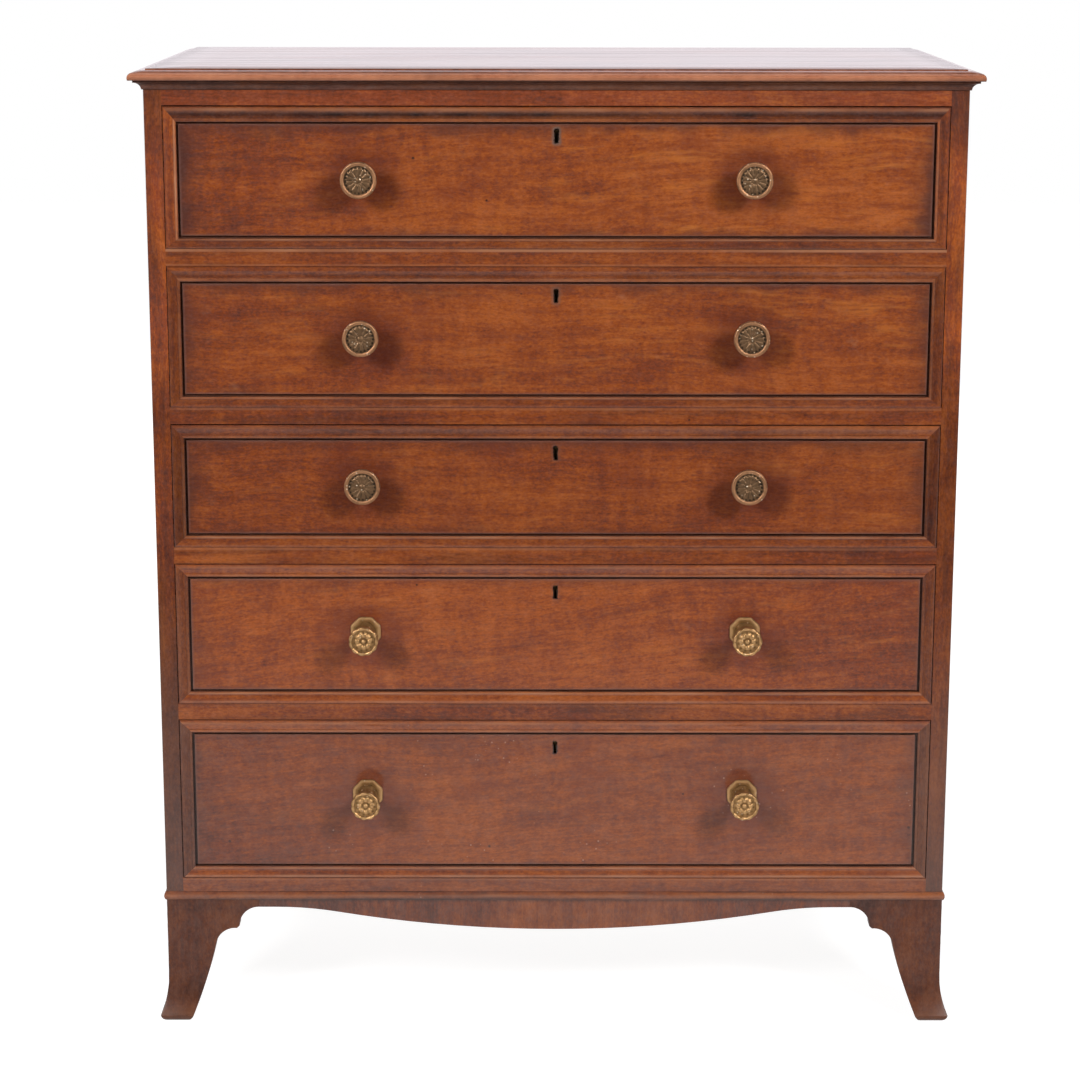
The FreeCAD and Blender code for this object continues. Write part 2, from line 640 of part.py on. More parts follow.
def footSide(body, plane, splay, offset):
    # One side of a foot: straight or splayed outside, two hollows and a long leg inside.
    corners = [
        ("footWidth - footHeel", "0"),
        ("footWidth", "footHeel"),
        ("kneeWidth", "kneeHeight"),
        ("footReach - bracketRadius - cuspWidth", "apronTop - bracketRadius - cuspDrop"),
        ("footReach - bracketRadius", "apronTop - bracketRadius"),
        ("footReach", "apronTop"),
        ("footReach", "baseHeight"),
        ("0", "baseHeight"),
    ]
    arcs = {1: ("legRadius", 1), 2: ("bracketRadius", -1), 4: ("bracketRadius", -1)}
    if splay:
        # The hollow of the splay leaves the straight part without a corner.
        start = f"{splay}Start"
        toeEnd = f"sqrt(2 * flareEnd * toeRadius - flareEnd ^ 2) - {splay}"
        corners += [("0", start), (f"-{splay}", "flareEnd"), (toeEnd, "0")]
        arcs[8] = (f"((({start} - flareEnd) ^ 2 + {splay} ^ 2) / (2 * {splay}))", -1)
        arcs[9] = ("toeRadius", 1)
    else:
        corners.append(("0", "0"))
    return outline(body, "Side", plane, corners, arcs, offset=offset)


def foot(label, splayAlong, splayAcross, **place):
    # An angle of two shaped walls. Each side view cuts the other's wall to its curve.
    length = "footReach + frontFlare"
    sideOn = doc.addObject("PartDesign::Body", f"{label}_along")
    pad(sideOn, "Solid", footSide(sideOn, "XZ_Plane", splayAlong, "frontFlare"), length, back=True)
    endOn = doc.addObject("PartDesign::Body", f"{label}_across")
    pad(endOn, "Solid", footSide(endOn, "YZ_Plane", splayAcross, "-frontFlare"), length)
    both = doc.addObject("Part::Common", f"{label}_solid")
    both.Base = sideOn
    both.Tool = endOn
    corner = doc.addObject("Part::Box", f"{label}_corner")
    for size in ("Length", "Width"):
        bind(corner, size, "footReach")
    bind(corner, "Height", "baseHeight + past")
    bind(corner, "Placement.Base.x", "footThickness")
    bind(corner, "Placement.Base.y", "footThickness")
    angle = doc.addObject("Part::Cut", label)
    angle.Base = both
    angle.Tool = corner
    angle.Label = label
    return placed(angle, **place)


backFace = f"({frontFace} + carcaseDepth)"
gather("front_feet", [
    foot("front_left_foot", "sideFlare", "frontFlare", x=f"-{halfWidth}"),
    foot("front_right_foot", "frontFlare", "sideFlare", x=halfWidth, turned=turn(90)),
])
gather("rear_feet", [
    foot("rear_left_foot", None, "sideFlare", x=f"-{halfWidth}", y=backFace, turned=turn(-90)),
    foot("rear_right_foot", "sideFlare", None, x=halfWidth, y=backFace, turned=turn(180)),
])

# Glue blocks: one in the angle of each foot, and three behind the front apron.
glueBlocks = []
cornerReach = "(footThickness + glueBlock)"
for word, side in hands:
    low, high = across(side, f"{halfWidth} - {cornerReach}", f"{halfWidth} - footThickness")
    for place, start in (("front", "footThickness"), ("rear", f"carcaseDepth - {cornerReach}")):
        corner = piece(f"{place}_{word}_block")
        block(corner, "Block", (low, start, "kneeHeight"), (high, f"{start} + glueBlock", "baseHeight"))
        glueBlocks.append(corner)
for index in (-1, 0, 1):
    low = f"{index} * apronBlockSpacing - glueBlock"
    behind = piece(f"apron_block_{index + 2}")
    block(behind, "Block", (low, "apronThickness", "baseHeight - glueBlock / 2"),
          (f"{low} + 2 * glueBlock", "apronThickness + glueBlock / 2", "baseHeight"))
    glueBlocks.append(behind)
gather("foot_glue_blocks", glueBlocks)


def borderStrip(label, length, width, startWidth, endWidth, **place):
    # Mitred at both ends to the widths of its neighbours, with the outer edge along x. The crest is
    # near the outer edge, a hollow falls from it towards the groove and a small bead stands at the
    # groove's lip. The moulding widens with the strip, so that it runs round the mitres.
    strip = piece(label, **place)
    plan = outline(strip, "Plan", "XZ_Plane", [
        ("0", "0"),
        (length, "0"),
        (f"({length}) - {endWidth}", width),
        (startWidth, width),
    ], offset="-grooveDepth")
    widening = f"{width} / borderWidth"
    pad(strip, "Blank", plan, "grooveDepth + borderProud + past")
    shape = outline(strip, "Moulding", "YZ_Plane", [
        ("borderEdgeSet", "-past"),
        ("borderEdgeSet", "0"),
        ("-borderProud", f"crestStart * {widening}"),
        ("-borderProud", f"(crestStart + crestWidth) * {widening}"),
        ("-hollowProud", f"{width} - hollowMargin * {widening}"),
        ("-hollowProud", f"{width} - (hollowMargin - hollowFillet) * {widening}"),
        ("-lipProud", f"{width} - lipStart * {widening}"),
        ("-lipProud", f"{width} - lipEnd * {widening}"),
        ("lipEdgeSet", width),
        ("lipEdgeSet", f"{width} + past"),
        ("-2 * borderProud - past", f"{width} + past"),
        ("-2 * borderProud - past", "-past"),
    ], {1: ("crestRadius", -1), 3: ("hollowRadius", 1), 7: ("lipRadius", -1)})
    cutAlong(strip, "Moulded", shape)
    return strip


def knob(label, faceRadius, reach, **place):
    # Turned about y: a sunk face inside a round rim, a waisted neck and a threaded shank.
    body = piece(label, **place)
    face = f"-{reach}"
    profile = outline(body, "Profile", "XY_Plane", [
        ("0", f"{face} + bossSet"),
        ("bossRadius", f"{face} + bossSet"),
        ("bossFoot", f"{face} + knobSunk"),
        (f"{faceRadius} - knobRim", f"{face} + knobSunk"),
        (f"{faceRadius} - knobRim + rimSlope", f"{face} + rimLip"),
        (f"{faceRadius} - rimRound", face),
        (faceRadius, f"{face} + rimRound"),
        (faceRadius, f"{face} + knobHead - headRound"),
        (f"{faceRadius} - headRound", f"{face} + knobHead"),
        ("neckRadius + neckTop", f"{face} + knobHead + headRound"),
        ("neckRadius", f"{face} / 2"),
        ("neckRadius + neckFoot", f"{face} / 4"),
        ("neckRadius + footSpread", "-plateThickness"),
        ("shankRadius", "-plateThickness"),
        ("shankRadius", "frontThickness + nutHeight + shankTail"),
        ("0", "frontThickness + nutHeight + shankTail"),
    ], {5: ("rimRound", 1)})
    revolve(body, "Turning", profile)
    return body


def roundPlate(label, **place):
    body = piece(label, **place)
    drill(body, "Plate", "plateRadius1", ("0", "-plateThickness", "0"), "plateThickness", cut=False)
    drill(body, "Hole", "shankHole", ("0", "-plateThickness - past", "0"), "plateThickness + 2 * past")
    return body


def eightSidedPlate(label, **place):
    body = piece(label, **place)
    corners = [(f"plateRadius2 * cos({22.5 + 45 * step})", f"plateRadius2 * sin({22.5 + 45 * step})")
               for step in range(8)]
    pad(body, "Plate", outline(body, "Shape", "XZ_Plane", corners), "plateThickness")
    drill(body, "Hole", "shankHole", ("0", "-plateThickness - past", "0"), "plateThickness + 2 * past")
    return body


def nut(label, **place):
    body = piece(label, **place)
    block(body, "Block", ("-nutWidth / 2", "frontThickness", "-nutWidth / 2"),
          ("nutWidth / 2", "frontThickness + nutHeight", "nutWidth / 2"))
    drill(body, "Thread", "shankRadius + threadGap", ("0", "frontThickness - past", "0"),
          "nutHeight + 2 * past")
    return body


def drawer(number):
    level = openingBottom[number]
    name = f"drawer_{number}"
    opening = f"openingHeight{number}"
    foot = "slideGap"
    head = f"({opening} - drawerGap)"
    half = f"({halfOpening} - drawerGap)"
    inner = f"({half} - drawerSideThickness)"
    margin = "(borderWidth + grooveWidth)"
    drop = f"blockDrop{number}"
    sideTop = f"({opening} - sideDrop)"
    bottomFoot = "(slideGap + drawerBottomRise)"
    bottomHead = f"({bottomFoot} + drawerBottomThickness)"
    knobLevel = f"({opening} / 2 + knobRise{number})"
    keyLevel = f"({head} - keyDrop)"
    lockFront = "(frontThickness - lockDepth + lockProud)"
    lockBack = "(frontThickness + lockProud)"
    caseHead = f"({head} - selvedgeThickness)"
    caseFoot = f"({caseHead} - lockHeight)"
    tails = 6 if number == 5 else 5
    pitch = f"(({sideTop} - {foot}) / {tails})"
    lapPin = "(pinNarrow + 2 * (frontThickness - frontLap) * tan(pinSlope))"
    backPin = "(pinNarrow + 2 * drawerSideThickness * tan(pinSlope))"
    backFront = "(drawerLength - drawerSideThickness)"

    # Front: a raised block on a thicker board, with room for the border, sides, bottom and lock.
    front = piece(f"{name}_front", z=level)
    block(front, "Board", (f"-{half}", "grooveDepth", foot), (half, "frontThickness", head))
    raised = block(front, "RaisedBlock", (f"-{half} + {margin}", "0", f"{foot} + {margin} - {drop}"),
                   (f"{half} - {margin}", "grooveDepth + past", f"{head} - {margin} - {drop}"))
    ease(front, raised, "BlockArris", "blockArris", lambda middle, way: abs(middle.y) < sameFace)
    for word, side in hands:
        tail = fantail(front, f"{word}Tail", f"{side} * {half}",
                       [("frontLap", f"{pitch} - pinNarrow"), ("frontThickness", f"{pitch} - {lapPin}")],
                       f"({foot} + {pitch} / 2)")
        socket = cutIn(front, f"{word}Socket", tail, "drawerSideThickness", back=side < 0)
        repeat(front, f"{word}Sockets", socket, tail, pitch, tails)
    block(front, "BottomGroove", (f"-{inner} - bottomGroove", "frontThickness - bottomGroove", bottomFoot),
          (f"{inner} + bottomGroove", "frontThickness + past", bottomHead), cut=True)
    block(front, "LockRecess", ("-lockWidth / 2", lockFront, caseFoot),
          ("lockWidth / 2", "frontThickness + past", f"{head} + past"), cut=True)
    block(front, "SelvedgeRecess", ("-selvedgeWidth / 2", lockFront, caseHead),
          ("selvedgeWidth / 2", "frontThickness + past", f"{head} + past"), cut=True)
    drill(front, "KeyholeHead", "keyRadius", ("0", "-past", keyLevel), f"{lockFront} + 2 * past")
    block(front, "KeyholeSlot", ("-keySlotWidth / 2", "-past", f"{keyLevel} - keySlotLength"),
          ("keySlotWidth / 2", f"{lockFront} + past", keyLevel), cut=True)
    for word, side in hands:
        drill(front, f"{word}KnobHole", "shankHole", (f"{side} * knobSpacing / 2", "-past", knobLevel),
              "frontThickness + 2 * past")
    keep(f"{name}_front", front)

    # Border: four mitred strips round the raised block, an open groove away from it.
    acrossLength = f"(2 * {half})"
    uprightLength = f"({head} - {foot})"
    below = f"(borderWidth - {drop})"
    above = f"(borderWidth + {drop})"
    beside = "borderWidth"
    corners = (
        ("bottom", acrossLength, (below, beside, beside), f"-{half}", f"{level} + {foot}", 0),
        ("right", uprightLength, (beside, below, above), half, f"{level} + {foot}", -90),
        ("top", acrossLength, (above, beside, beside), half, f"{level} + {head}", 180),
        ("left", uprightLength, (beside, above, below), f"-{half}", f"{level} + {head}", 90),
    )
    gather(f"{name}_border", [
        borderStrip(f"{name}_{word}_strip", length, *widths, x=x, z=z, turned=turn(degrees, V(0, 1, 0)))
        for word, length, widths, x, z, degrees in corners])

    sides = []
    for word, side in hands:
        board = piece(f"{name}_{word}_side", z=level)
        low, high = across(side, inner, half)
        blank = block(board, "Board", (low, "frontLap", foot), (high, "drawerLength", sideTop))
        top = value(sideTop)
        ease(board, blank, "TopEdges", "sideArris",
             lambda middle, way: abs(middle.z - top) < sameFace and abs(way.y) > longEdge)
        low, high = across(side, f"{inner} - past", f"{inner} + bottomGroove")
        block(board, "Groove", (low, "frontLap - past", bottomFoot),
              (high, "drawerLength + past", bottomHead), cut=True)
        pin = fantail(board, "FrontPin", "0",
                      [("frontLap", "pinNarrow"), ("frontThickness", lapPin)], foot)
        repeat(board, "FrontPins", cutAlong(board, "FrontNotch", pin), pin, pitch, tails + 1)
        pin = fantail(board, "BackPin", "0",
                      [(backFront, backPin), ("drawerLength", "pinNarrow")], f"({foot} + {pitch})")
        repeat(board, "BackPins", cutAlong(board, "BackNotch", pin), pin, pitch, tails - 1)
        sides.append(board)
    gather(f"{name}_sides", sides)

    back = piece(f"{name}_back", z=level)
    block(back, "Board", (f"-{inner}", backFront, bottomHead),
          (inner, "drawerLength", f"{opening} - backDrop"))
    for word, side in hands:
        pin = fantail(back, f"{word}Pin", f"{side} * {inner}",
                      [(backFront, backPin), ("drawerLength", "pinNarrow")], f"({foot} + {pitch})")
        solidPin = pad(back, f"{word}PinSolid", pin, "drawerSideThickness", back=side < 0)
        repeat(back, f"{word}Pins", solidPin, pin, pitch, tails - 1)
    keep(f"{name}_back", back)

    bottom = piece(f"{name}_bottom", z=level)
    block(bottom, "Board", (f"-{inner} - bottomGroove", "frontThickness - bottomGroove", bottomFoot),
          (f"{inner} + bottomGroove", "drawerLength - bottomBackSet", bottomHead))
    keep(f"{name}_bottom", bottom)

    # Lock: a brass case let into the back of the front, with a plate in the front's top edge.
    lock = piece(f"{name}_lock", z=level)
    block(lock, "Case", ("-lockWidth / 2", lockFront, caseFoot), ("lockWidth / 2", lockBack, caseHead))
    block(lock, "Selvedge", ("-selvedgeWidth / 2", lockFront, caseHead),
          ("selvedgeWidth / 2", "frontThickness", head))
    block(lock, "Inside", ("-lockWidth / 2 + lockWall", f"{lockFront} + lockWall", f"{caseFoot} + lockWall"),
          ("lockWidth / 2 - lockWall", f"{lockBack} - lockWall", f"{caseHead} - lockWall"), cut=True)
    block(lock, "BoltSlot",
          ("-boltWidth / 2 - boltGap", f"{boltFront} - boltGap", f"{caseHead} - lockWall - past"),
          ("boltWidth / 2 + boltGap", f"{boltBack} + boltGap", f"{head} + past"), cut=True)
    drill(lock, "KeyholeHead", "keyRadius - keyMargin", ("0", f"{lockFront} - past", keyLevel),
          "lockWall + 2 * past")
    block(lock, "KeyholeSlot",
          ("-keySlotWidth / 2 + keyMargin", f"{lockFront} - past", f"{keyLevel} - keySlotLength + keyMargin"),
          ("keySlotWidth / 2 - keyMargin", f"{lockFront} + lockWall + past", keyLevel), cut=True)
    drill(lock, "KeyPin", "keyPinRadius", ("0", lockFront, keyLevel), "lockDepth - lockWall / 2", cut=False)
    keep(f"{name}_lock", lock)

    bolt = piece(f"{name}_lock_bolt", z=level)
    block(bolt, "Bar", ("-boltWidth / 2", boltFront, f"{head} - boltSunk - boltHeight"),
          ("boltWidth / 2", boltBack, f"{head} - boltSunk"))
    keep(f"{name}_lock_bolt", bolt)

    kind, plate = (1, roundPlate) if number < 4 else (2, eightSidedPlate)
    fittings = []
    for word, side in hands:
        place = {"x": f"{side} * knobSpacing / 2", "z": f"{level} + {knobLevel}"}
        fittings.append(knob(f"{name}_{word}_knob", f"knobRadius{kind}", f"knobReach{kind}", **place))
        fittings.append(plate(f"{name}_{word}_plate", **place))
        fittings.append(nut(f"{name}_{word}_nut", **place))
    gather(f"{name}_knobs", fittings)


for number in drawers:
    drawer(number)

doc.recompute()
for thing in doc.Objects:
    if "Invalid" in thing.State or "Error" in thing.State:
        raise RuntimeError(f"{thing.Label} did not build: {thing.State}")
whole = FreeCAD.BoundBox()
for label, thing in nodes.items():
    if thing.Shape.isNull() or not thing.Shape.isValid() or not thing.Shape.Solids:
        raise RuntimeError(f"{label} has no valid solid")
    whole.add(thing.Shape.BoundBox)
os.makedirs("parts", exist_ok=True)
for label, thing in nodes.items():
    thing.Shape.exportStep(f"parts/{label}.step")
print(len(nodes), "sub-parts,", sum(len(thing.Shape.Solids) for thing in nodes.values()), "solids")
print("overall", [round(size, 2) for size in (whole.XLength, whole.YLength, whole.ZLength)],
      "from", [round(place, 2) for place in (whole.XMin, whole.YMin, whole.ZMin)])
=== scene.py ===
import math
import bpy
import numpy as np
from mathutils import Matrix, Vector


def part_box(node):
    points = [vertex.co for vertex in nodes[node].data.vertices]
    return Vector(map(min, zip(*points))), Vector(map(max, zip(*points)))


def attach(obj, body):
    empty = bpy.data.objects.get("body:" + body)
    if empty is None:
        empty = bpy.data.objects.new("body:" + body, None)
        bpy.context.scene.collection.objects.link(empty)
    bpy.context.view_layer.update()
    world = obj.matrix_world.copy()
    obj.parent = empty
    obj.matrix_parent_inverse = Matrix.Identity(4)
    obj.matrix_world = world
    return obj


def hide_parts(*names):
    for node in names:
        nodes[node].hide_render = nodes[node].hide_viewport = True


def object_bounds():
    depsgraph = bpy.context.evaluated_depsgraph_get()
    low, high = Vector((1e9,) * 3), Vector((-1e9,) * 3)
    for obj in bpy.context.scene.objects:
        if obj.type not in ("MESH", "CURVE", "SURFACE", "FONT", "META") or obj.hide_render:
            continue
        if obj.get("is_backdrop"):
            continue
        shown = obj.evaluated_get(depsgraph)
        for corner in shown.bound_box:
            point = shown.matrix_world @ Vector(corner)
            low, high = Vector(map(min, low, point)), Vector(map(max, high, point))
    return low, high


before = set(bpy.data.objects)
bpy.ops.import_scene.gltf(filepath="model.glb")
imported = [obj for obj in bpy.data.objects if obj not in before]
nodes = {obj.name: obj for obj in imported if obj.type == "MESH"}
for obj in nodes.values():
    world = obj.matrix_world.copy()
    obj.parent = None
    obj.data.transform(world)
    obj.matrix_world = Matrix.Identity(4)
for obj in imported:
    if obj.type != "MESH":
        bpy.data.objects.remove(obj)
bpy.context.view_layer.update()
mm = 0.001
drawerNumbers = range(1, 6)
hands = {"left": -1, "right": 1}
print("frame loaded:", len(nodes), "nodes")

# places read from the frame
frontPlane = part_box("top_rail")[0].y        # face of rails and stiles
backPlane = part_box("back_boards")[1].y
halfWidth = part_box("right_side_panel")[1].x
topFoot, topHead = (corner.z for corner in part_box("top_board"))
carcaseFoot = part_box("bottom_rail")[0].z


class Signal:
    # One output of a shader node. Sums with numbers and other signals become Math nodes in its tree.
    def __init__(self, shaderNode, output=0):
        self.shaderNode = shaderNode
        self.output = output
        self.tree = shaderNode.id_data

    def out(self, output):
        return Signal(self.shaderNode, output)

    def __add__(self, other):
        return calc("ADD", self, other)

    def __radd__(self, other):
        return calc("ADD", other, self)

    def __sub__(self, other):
        return calc("SUBTRACT", self, other)

    def __rsub__(self, other):
        return calc("SUBTRACT", other, self)

    def __mul__(self, other):
        return calc("MULTIPLY", self, other)

    def __truediv__(self, other):
        return calc("DIVIDE", self, other)

    def __abs__(self):
        return calc("ABSOLUTE", self)


def node(tree, kind, inputs, output=0, **settings):
    # Adds a shader node, fills its inputs with numbers, colours or signals and gives one of its outputs
    made = tree.nodes.new("ShaderNode" + kind)
    for key, value in settings.items():
        setattr(made, key, value)
    for key, value in inputs.items():
        socket = made.inputs[key]
        if isinstance(value, Signal):
            tree.links.new(value.shaderNode.outputs[value.output], socket)
        elif socket.type == "RGBA":
            socket.default_value = (*value, 1)
        else:
            socket.default_value = value
    return Signal(made, output)


def treeOf(values):
    # The tree of the first signal among them
    return next(value.tree for value in values if isinstance(value, Signal))


def calc(operation, *values):
    return node(treeOf(values), "Math", dict(enumerate(values)), operation=operation)


def over(colour, share, paint, mode="MIX"):
    # The colour painted over with another, as far as share says
    return node(treeOf((colour, share, paint)), "Mix", {0: share, 6: colour, 7: paint}, 2,
                data_type="RGBA", blend_type=mode)


def fade(value, low, high):
    # 0 at low and 1 at high, smooth between them; low may be the larger
    first, last = (0.0, 1.0) if low <= high else (1.0, 0.0)
    return node(value.tree, "MapRange", {0: value, 1: min(low, high), 2: max(low, high), 3: first, 4: last},
                interpolation_type="SMOOTHSTEP")


def noise(place, detail, rough, scale=1.0):
    return node(place.tree, "TexNoise",
                {"Vector": place, "Scale": scale, "Detail": detail, "Roughness": rough})


def stretched(place, grain, along, across, shift):
    # Scales a position so that a noise of size 1 is along by across metres, with the grain on one axis
    size = [1 / across] * 3
    size["xyz".index(grain)] = 1 / along
    return node(place.tree, "Mapping", {"Vector": place, "Scale": tuple(size),
                                        "Location": (shift, shift * 0.7, -shift * 1.3)})


def swaying(place, scale, detail, reach):
    # The position with a slow sideways drift, so that lines along the grain wander
    sway = noise(place, detail, 0.5, scale).out(1)
    return node(place.tree, "VectorMath", {0: sway, 1: (reach,) * 3, 2: place}, operation="MULTIPLY_ADD")


def ramp(value, stops):
    made = node(value.tree, "ValToRGB", {0: value})
    elements = made.shaderNode.color_ramp.elements
    while len(elements) < len(stops):
        elements.new(0.5)
    for element, (position, colour) in zip(elements, stops):
        element.position = position
        element.color = (*colour, 1)
    return made


def cells(place, scale):
    # Scattered points: distance from the nearest one, and a chance number that each has to itself
    made = node(place.tree, "TexVoronoi", {"Vector": place, "Scale": scale})
    return made, node(place.tree, "SeparateColor", {0: made.out(1)})


def freshMaterial(name):
    # An empty material, and the place of a point on its object
    material = bpy.data.materials.new(name)
    material.use_nodes = True
    material.node_tree.nodes.clear()
    return material, node(material.node_tree, "TexCoord", {}, "Object")


def finishShader(colour, roughness, bumps, **sockets):
    # bumps: (height, strength, distance in metres), each on top of the one before
    tree, relief = colour.tree, {}
    for height, strength, distance in bumps:
        inputs = {"Height": height, "Strength": strength, "Distance": distance, **relief}
        relief = {"Normal": node(tree, "Bump", inputs)}
    shader = node(tree, "BsdfPrincipled", {"Base Color": colour, "Roughness": roughness, **relief, **sockets})
    node(tree, "OutputMaterial", {0: shader})


mahoganyTones = {
    "dark": (0.088, 0.024, 0.015),
    "deep": (0.185, 0.040, 0.012),
    "mid": (0.280, 0.064, 0.011),
    "light": (0.400, 0.108, 0.022),
    # grime: dirt in holes, and painted shade under mouldings and in creases
    "grime": (0.022, 0.010, 0.008),
    "worn": (0.400, 0.170, 0.085),
    "red": (0.150, 0.028, 0.012),
    # patina: patina with painted shade at the edges of the raised panel
    "patina": (0.074, 0.024, 0.017),
    # worn: rubbed bare wood, and painted highlights on edges and crests
    "veil": (0.230, 0.140, 0.115),
    "gold": (0.480, 0.152, 0.028),
    # dark of handling and painted shade round the knobs
    "handled": (0.105, 0.020, 0.010),
    "chipped": (0.420, 0.240, 0.170),
    "haze": (0.420, 0.210, 0.120),
    "smudge": (0.060, 0.022, 0.014),
    # painted shade on the groove's walls
    "groove": (0.075, 0.026, 0.014),
    # painted highlight on the groove's edges
    "grooveEdge": (0.215, 0.105, 0.078),
    # painted highlight along the arris of the raised panel
    "blockEdge": (0.150, 0.068, 0.050),
    "keyRub": (0.135, 0.082, 0.060),
    # painted shade that widens the keyhole's dark
    "keyDirt": (0.006, 0.004, 0.003),
    "bluish": (0.200, 0.115, 0.110),
}

# layers of noise along the grain: (drifts sideways, along, across, shift, detail, roughness, weight)
figureLayers = {
    "drift": (False, 0.36, 0.16, 0.0, 2, 0.5, 0.62),
    "ribbon": (True, 0.22, 0.024, 3.7, 3, 0.5, 0.70),
    "flame": (True, 0.090, 0.0085, 9.2, 3, 0.6, 0.36),
    "cloud": (False, 0.050, 0.030, 4.4, 4, 0.65, 0.42),
    "streak": (True, 0.040, 0.0026, 5.1, 2, 0.6, 0.16),
    "mottle": (True, 0.0060, 0.0030, 6.6, 4, 0.70, 0.72),
    "ripple": (True, 0.011, 0.050, 7.9, 2, 0.5, 0.26),
    "fleece": (True, 0.13, 0.0034, 12.6, 3, 0.6, 0.38),
    "speck": (False, 0.0032, 0.0020, 18.3, 3, 0.6, 0.36),
}
broadLayers = ("drift", "ribbon", "flame", "cloud")        # these grow with a piece's figure
broadGain = 1.15


class WoodPlace:
    # Where a point of the wood lies (metres), and layers of noise drawn out along its grain
    def __init__(self, place, grain, seed, slant):
        split = node(place.tree, "SeparateXYZ", {0: place})
        self.x, self.y, self.z = (split.out(axis) for axis in range(3))
        self.place = place
        self.grain = grain
        self.seed = seed
        slope = (0, math.radians(slant), 0)
        self.turned = node(place.tree, "Mapping", {"Vector": place, "Rotation": slope})
        self.drifting = swaying(self.turned, 3.6, 3.0, 0.05)
        self.parts = {}

    def layer(self, along, across, shift, detail=3, rough=0.6, source=None):
        source = source or self.place
        return noise(stretched(source, self.grain, along, across, self.seed + shift), detail, rough)

    def patches(self, size, low, high):
        return fade(self.layer(size, size, 8.0), low, high)

    def band(self, level, outer, inner):
        # 1 within inner of a height, 0 beyond outer
        return fade(abs(self.z - level), outer, inner)

    def depths(self, low, high, lowFade, highFade):
        # 1 between two depths behind the front, 0 beyond them
        return fade(self.y, low, low + lowFade) * fade(self.y, high, high - highFade)


def groundColour(wood, tone, figure, shade):
    # The layers of noise add up to a tone; dark pores and hand-rubbed clouds of polish lie over it
    left, middle, right = shade
    value = fade(wood.x, -0.10, -0.40) * left + 0.52 + fade(wood.x, 0.10, 0.40) * right + middle
    for word, (drifts, along, across, shift, detail, rough, weight) in figureLayers.items():
        source = wood.drifting if drifts else wood.place
        wood.parts[word] = wood.layer(along, across, shift, detail, rough, source)
        gain = weight * figure * broadGain if word in broadLayers else weight
        value = value + (wood.parts[word] - 0.5) * gain
    stops = ((0.20, "dark"), (0.42, "deep"), (0.58, "mid"), (0.86, "light"))
    colour = ramp(value, [(position, tone[word]) for position, word in stops])
    wood.pore = fade(wood.layer(0.0075, 0.0012, 2.3, 2, source=wood.turned), 0.46, 0.30)
    colour = over(colour, wood.pore * 0.40, tone["dark"])
    wood.blotch = wood.layer(0.13, 0.09, 11.0, 4)
    return over(colour, fade(wood.blotch, 0.52, 0.72) * 0.45, tone["red"])


def goldStreaks(colour, wood, tone, gold):
    # Long golden streaks where the old polish is thin: strength at the left and at the right end
    left, right = gold
    streaky = wood.layer(0.085, 0.0100, 21.0, 4, 0.62, wood.drifting)
    patchy = fade(wood.layer(0.16, 0.05, 22.0, 2, 0.55), 0.42, 0.60)
    slide = fade(wood.x, -0.40, 0.40) * (right - left) + left
    colour = over(colour, fade(streaky, 0.48, 0.76) * patchy * slide, tone["gold"])
    return over(colour, fade(streaky, 0.46, 0.30) * slide, tone["deep"])


def redFlecks(colour, wood, tone, strength):
    # Short reddish flecks and knocks, gathered in a few places
    where = fade(wood.layer(0.14, 0.10, 14.0, 2, 0.55), 0.50, 0.66)
    fleck = fade(wood.layer(0.016, 0.0045, 13.0, source=wood.drifting), 0.60, 0.72)
    colour = over(colour, fleck * where * strength, tone["red"])
    haze = fade(wood.layer(0.035, 0.028, 15.0), 0.64, 0.80)
    return over(colour, haze * (0.22 * strength), tone["haze"])


def panelShadeAndHighlight(colour, wood, tone, panel):
    # Painted shade towards the edges of the raised panel, along the groove, with patina; more at the two ends
    # and along the top; a painted highlight, with some rubbing, lies along its arris
    halfLength, foot, head, depth = panel
    uneven = wood.layer(0.07, 0.05, 4.0, 4) * 0.060 - 0.030
    toEnd, toHead, toFoot = halfLength - abs(wood.x), head - wood.z, wood.z - foot
    ends = fade(toEnd + uneven, 0.042, 0.0) * 0.5 + fade(toEnd + uneven, 0.018, -0.006) * 0.5
    heads = fade(toHead + uneven, 0.020, -0.006) * 0.85
    feet = fade(toFoot + uneven, 0.010, -0.008) * 0.6
    edges = calc("MAXIMUM", calc("MAXIMUM", ends, heads), feet)
    colour = over(colour, edges * depth, tone["patina"])
    toEdge = calc("MINIMUM", toEnd, calc("MINIMUM", toHead, toFoot))
    patch = wood.patches(0.11, 0.30, 0.60) * 0.30 + 0.15
    return over(colour, fade(toEdge, 0.0036, 0.0012) * patch, tone["blockEdge"])


def handledAndShadedRings(colour, wood, tone, halo):
    # Dark ring round each knob, centred a little below it: dirt of handling with painted shade of the knob
    knobX, knobZ, reach, depth = halo
    across, up = (abs(wood.x) - knobX) * 0.8, wood.z - (knobZ - 0.006)
    wobble = noise(wood.place, 3, 0.6, 22.0) * 0.050 - 0.025
    distance = calc("SQRT", across * across + up * up) + wobble
    return over(colour, fade(distance, reach, reach * 0.35) * depth, tone["handled"])


def paleChips(colour, wood, tone, strength):
    chosen = fade(noise(wood.place, 2, 0.5, 14.0), 0.52, 0.70)
    near = cells(wood.place, 110.0)[0]
    return over(colour, fade(near, 0.16, 0.07) * chosen * strength, tone["chipped"])


def wormholes(colour, wood, tone, strength):
    near, chance = cells(wood.place, 24.0)
    hole = fade(near, 0.055, 0.028) * fade(chance, 0.78, 0.82)
    return over(colour, hole * (0.85 * strength), tone["grime"])


def smudges(colour, wood, tone, strength):
    # Dirt and old polish gathered in streaks
    return over(colour, fade(wood.layer(0.16, 0.011, 6.0, 4), 0.46, 0.66) * strength, tone["smudge"])


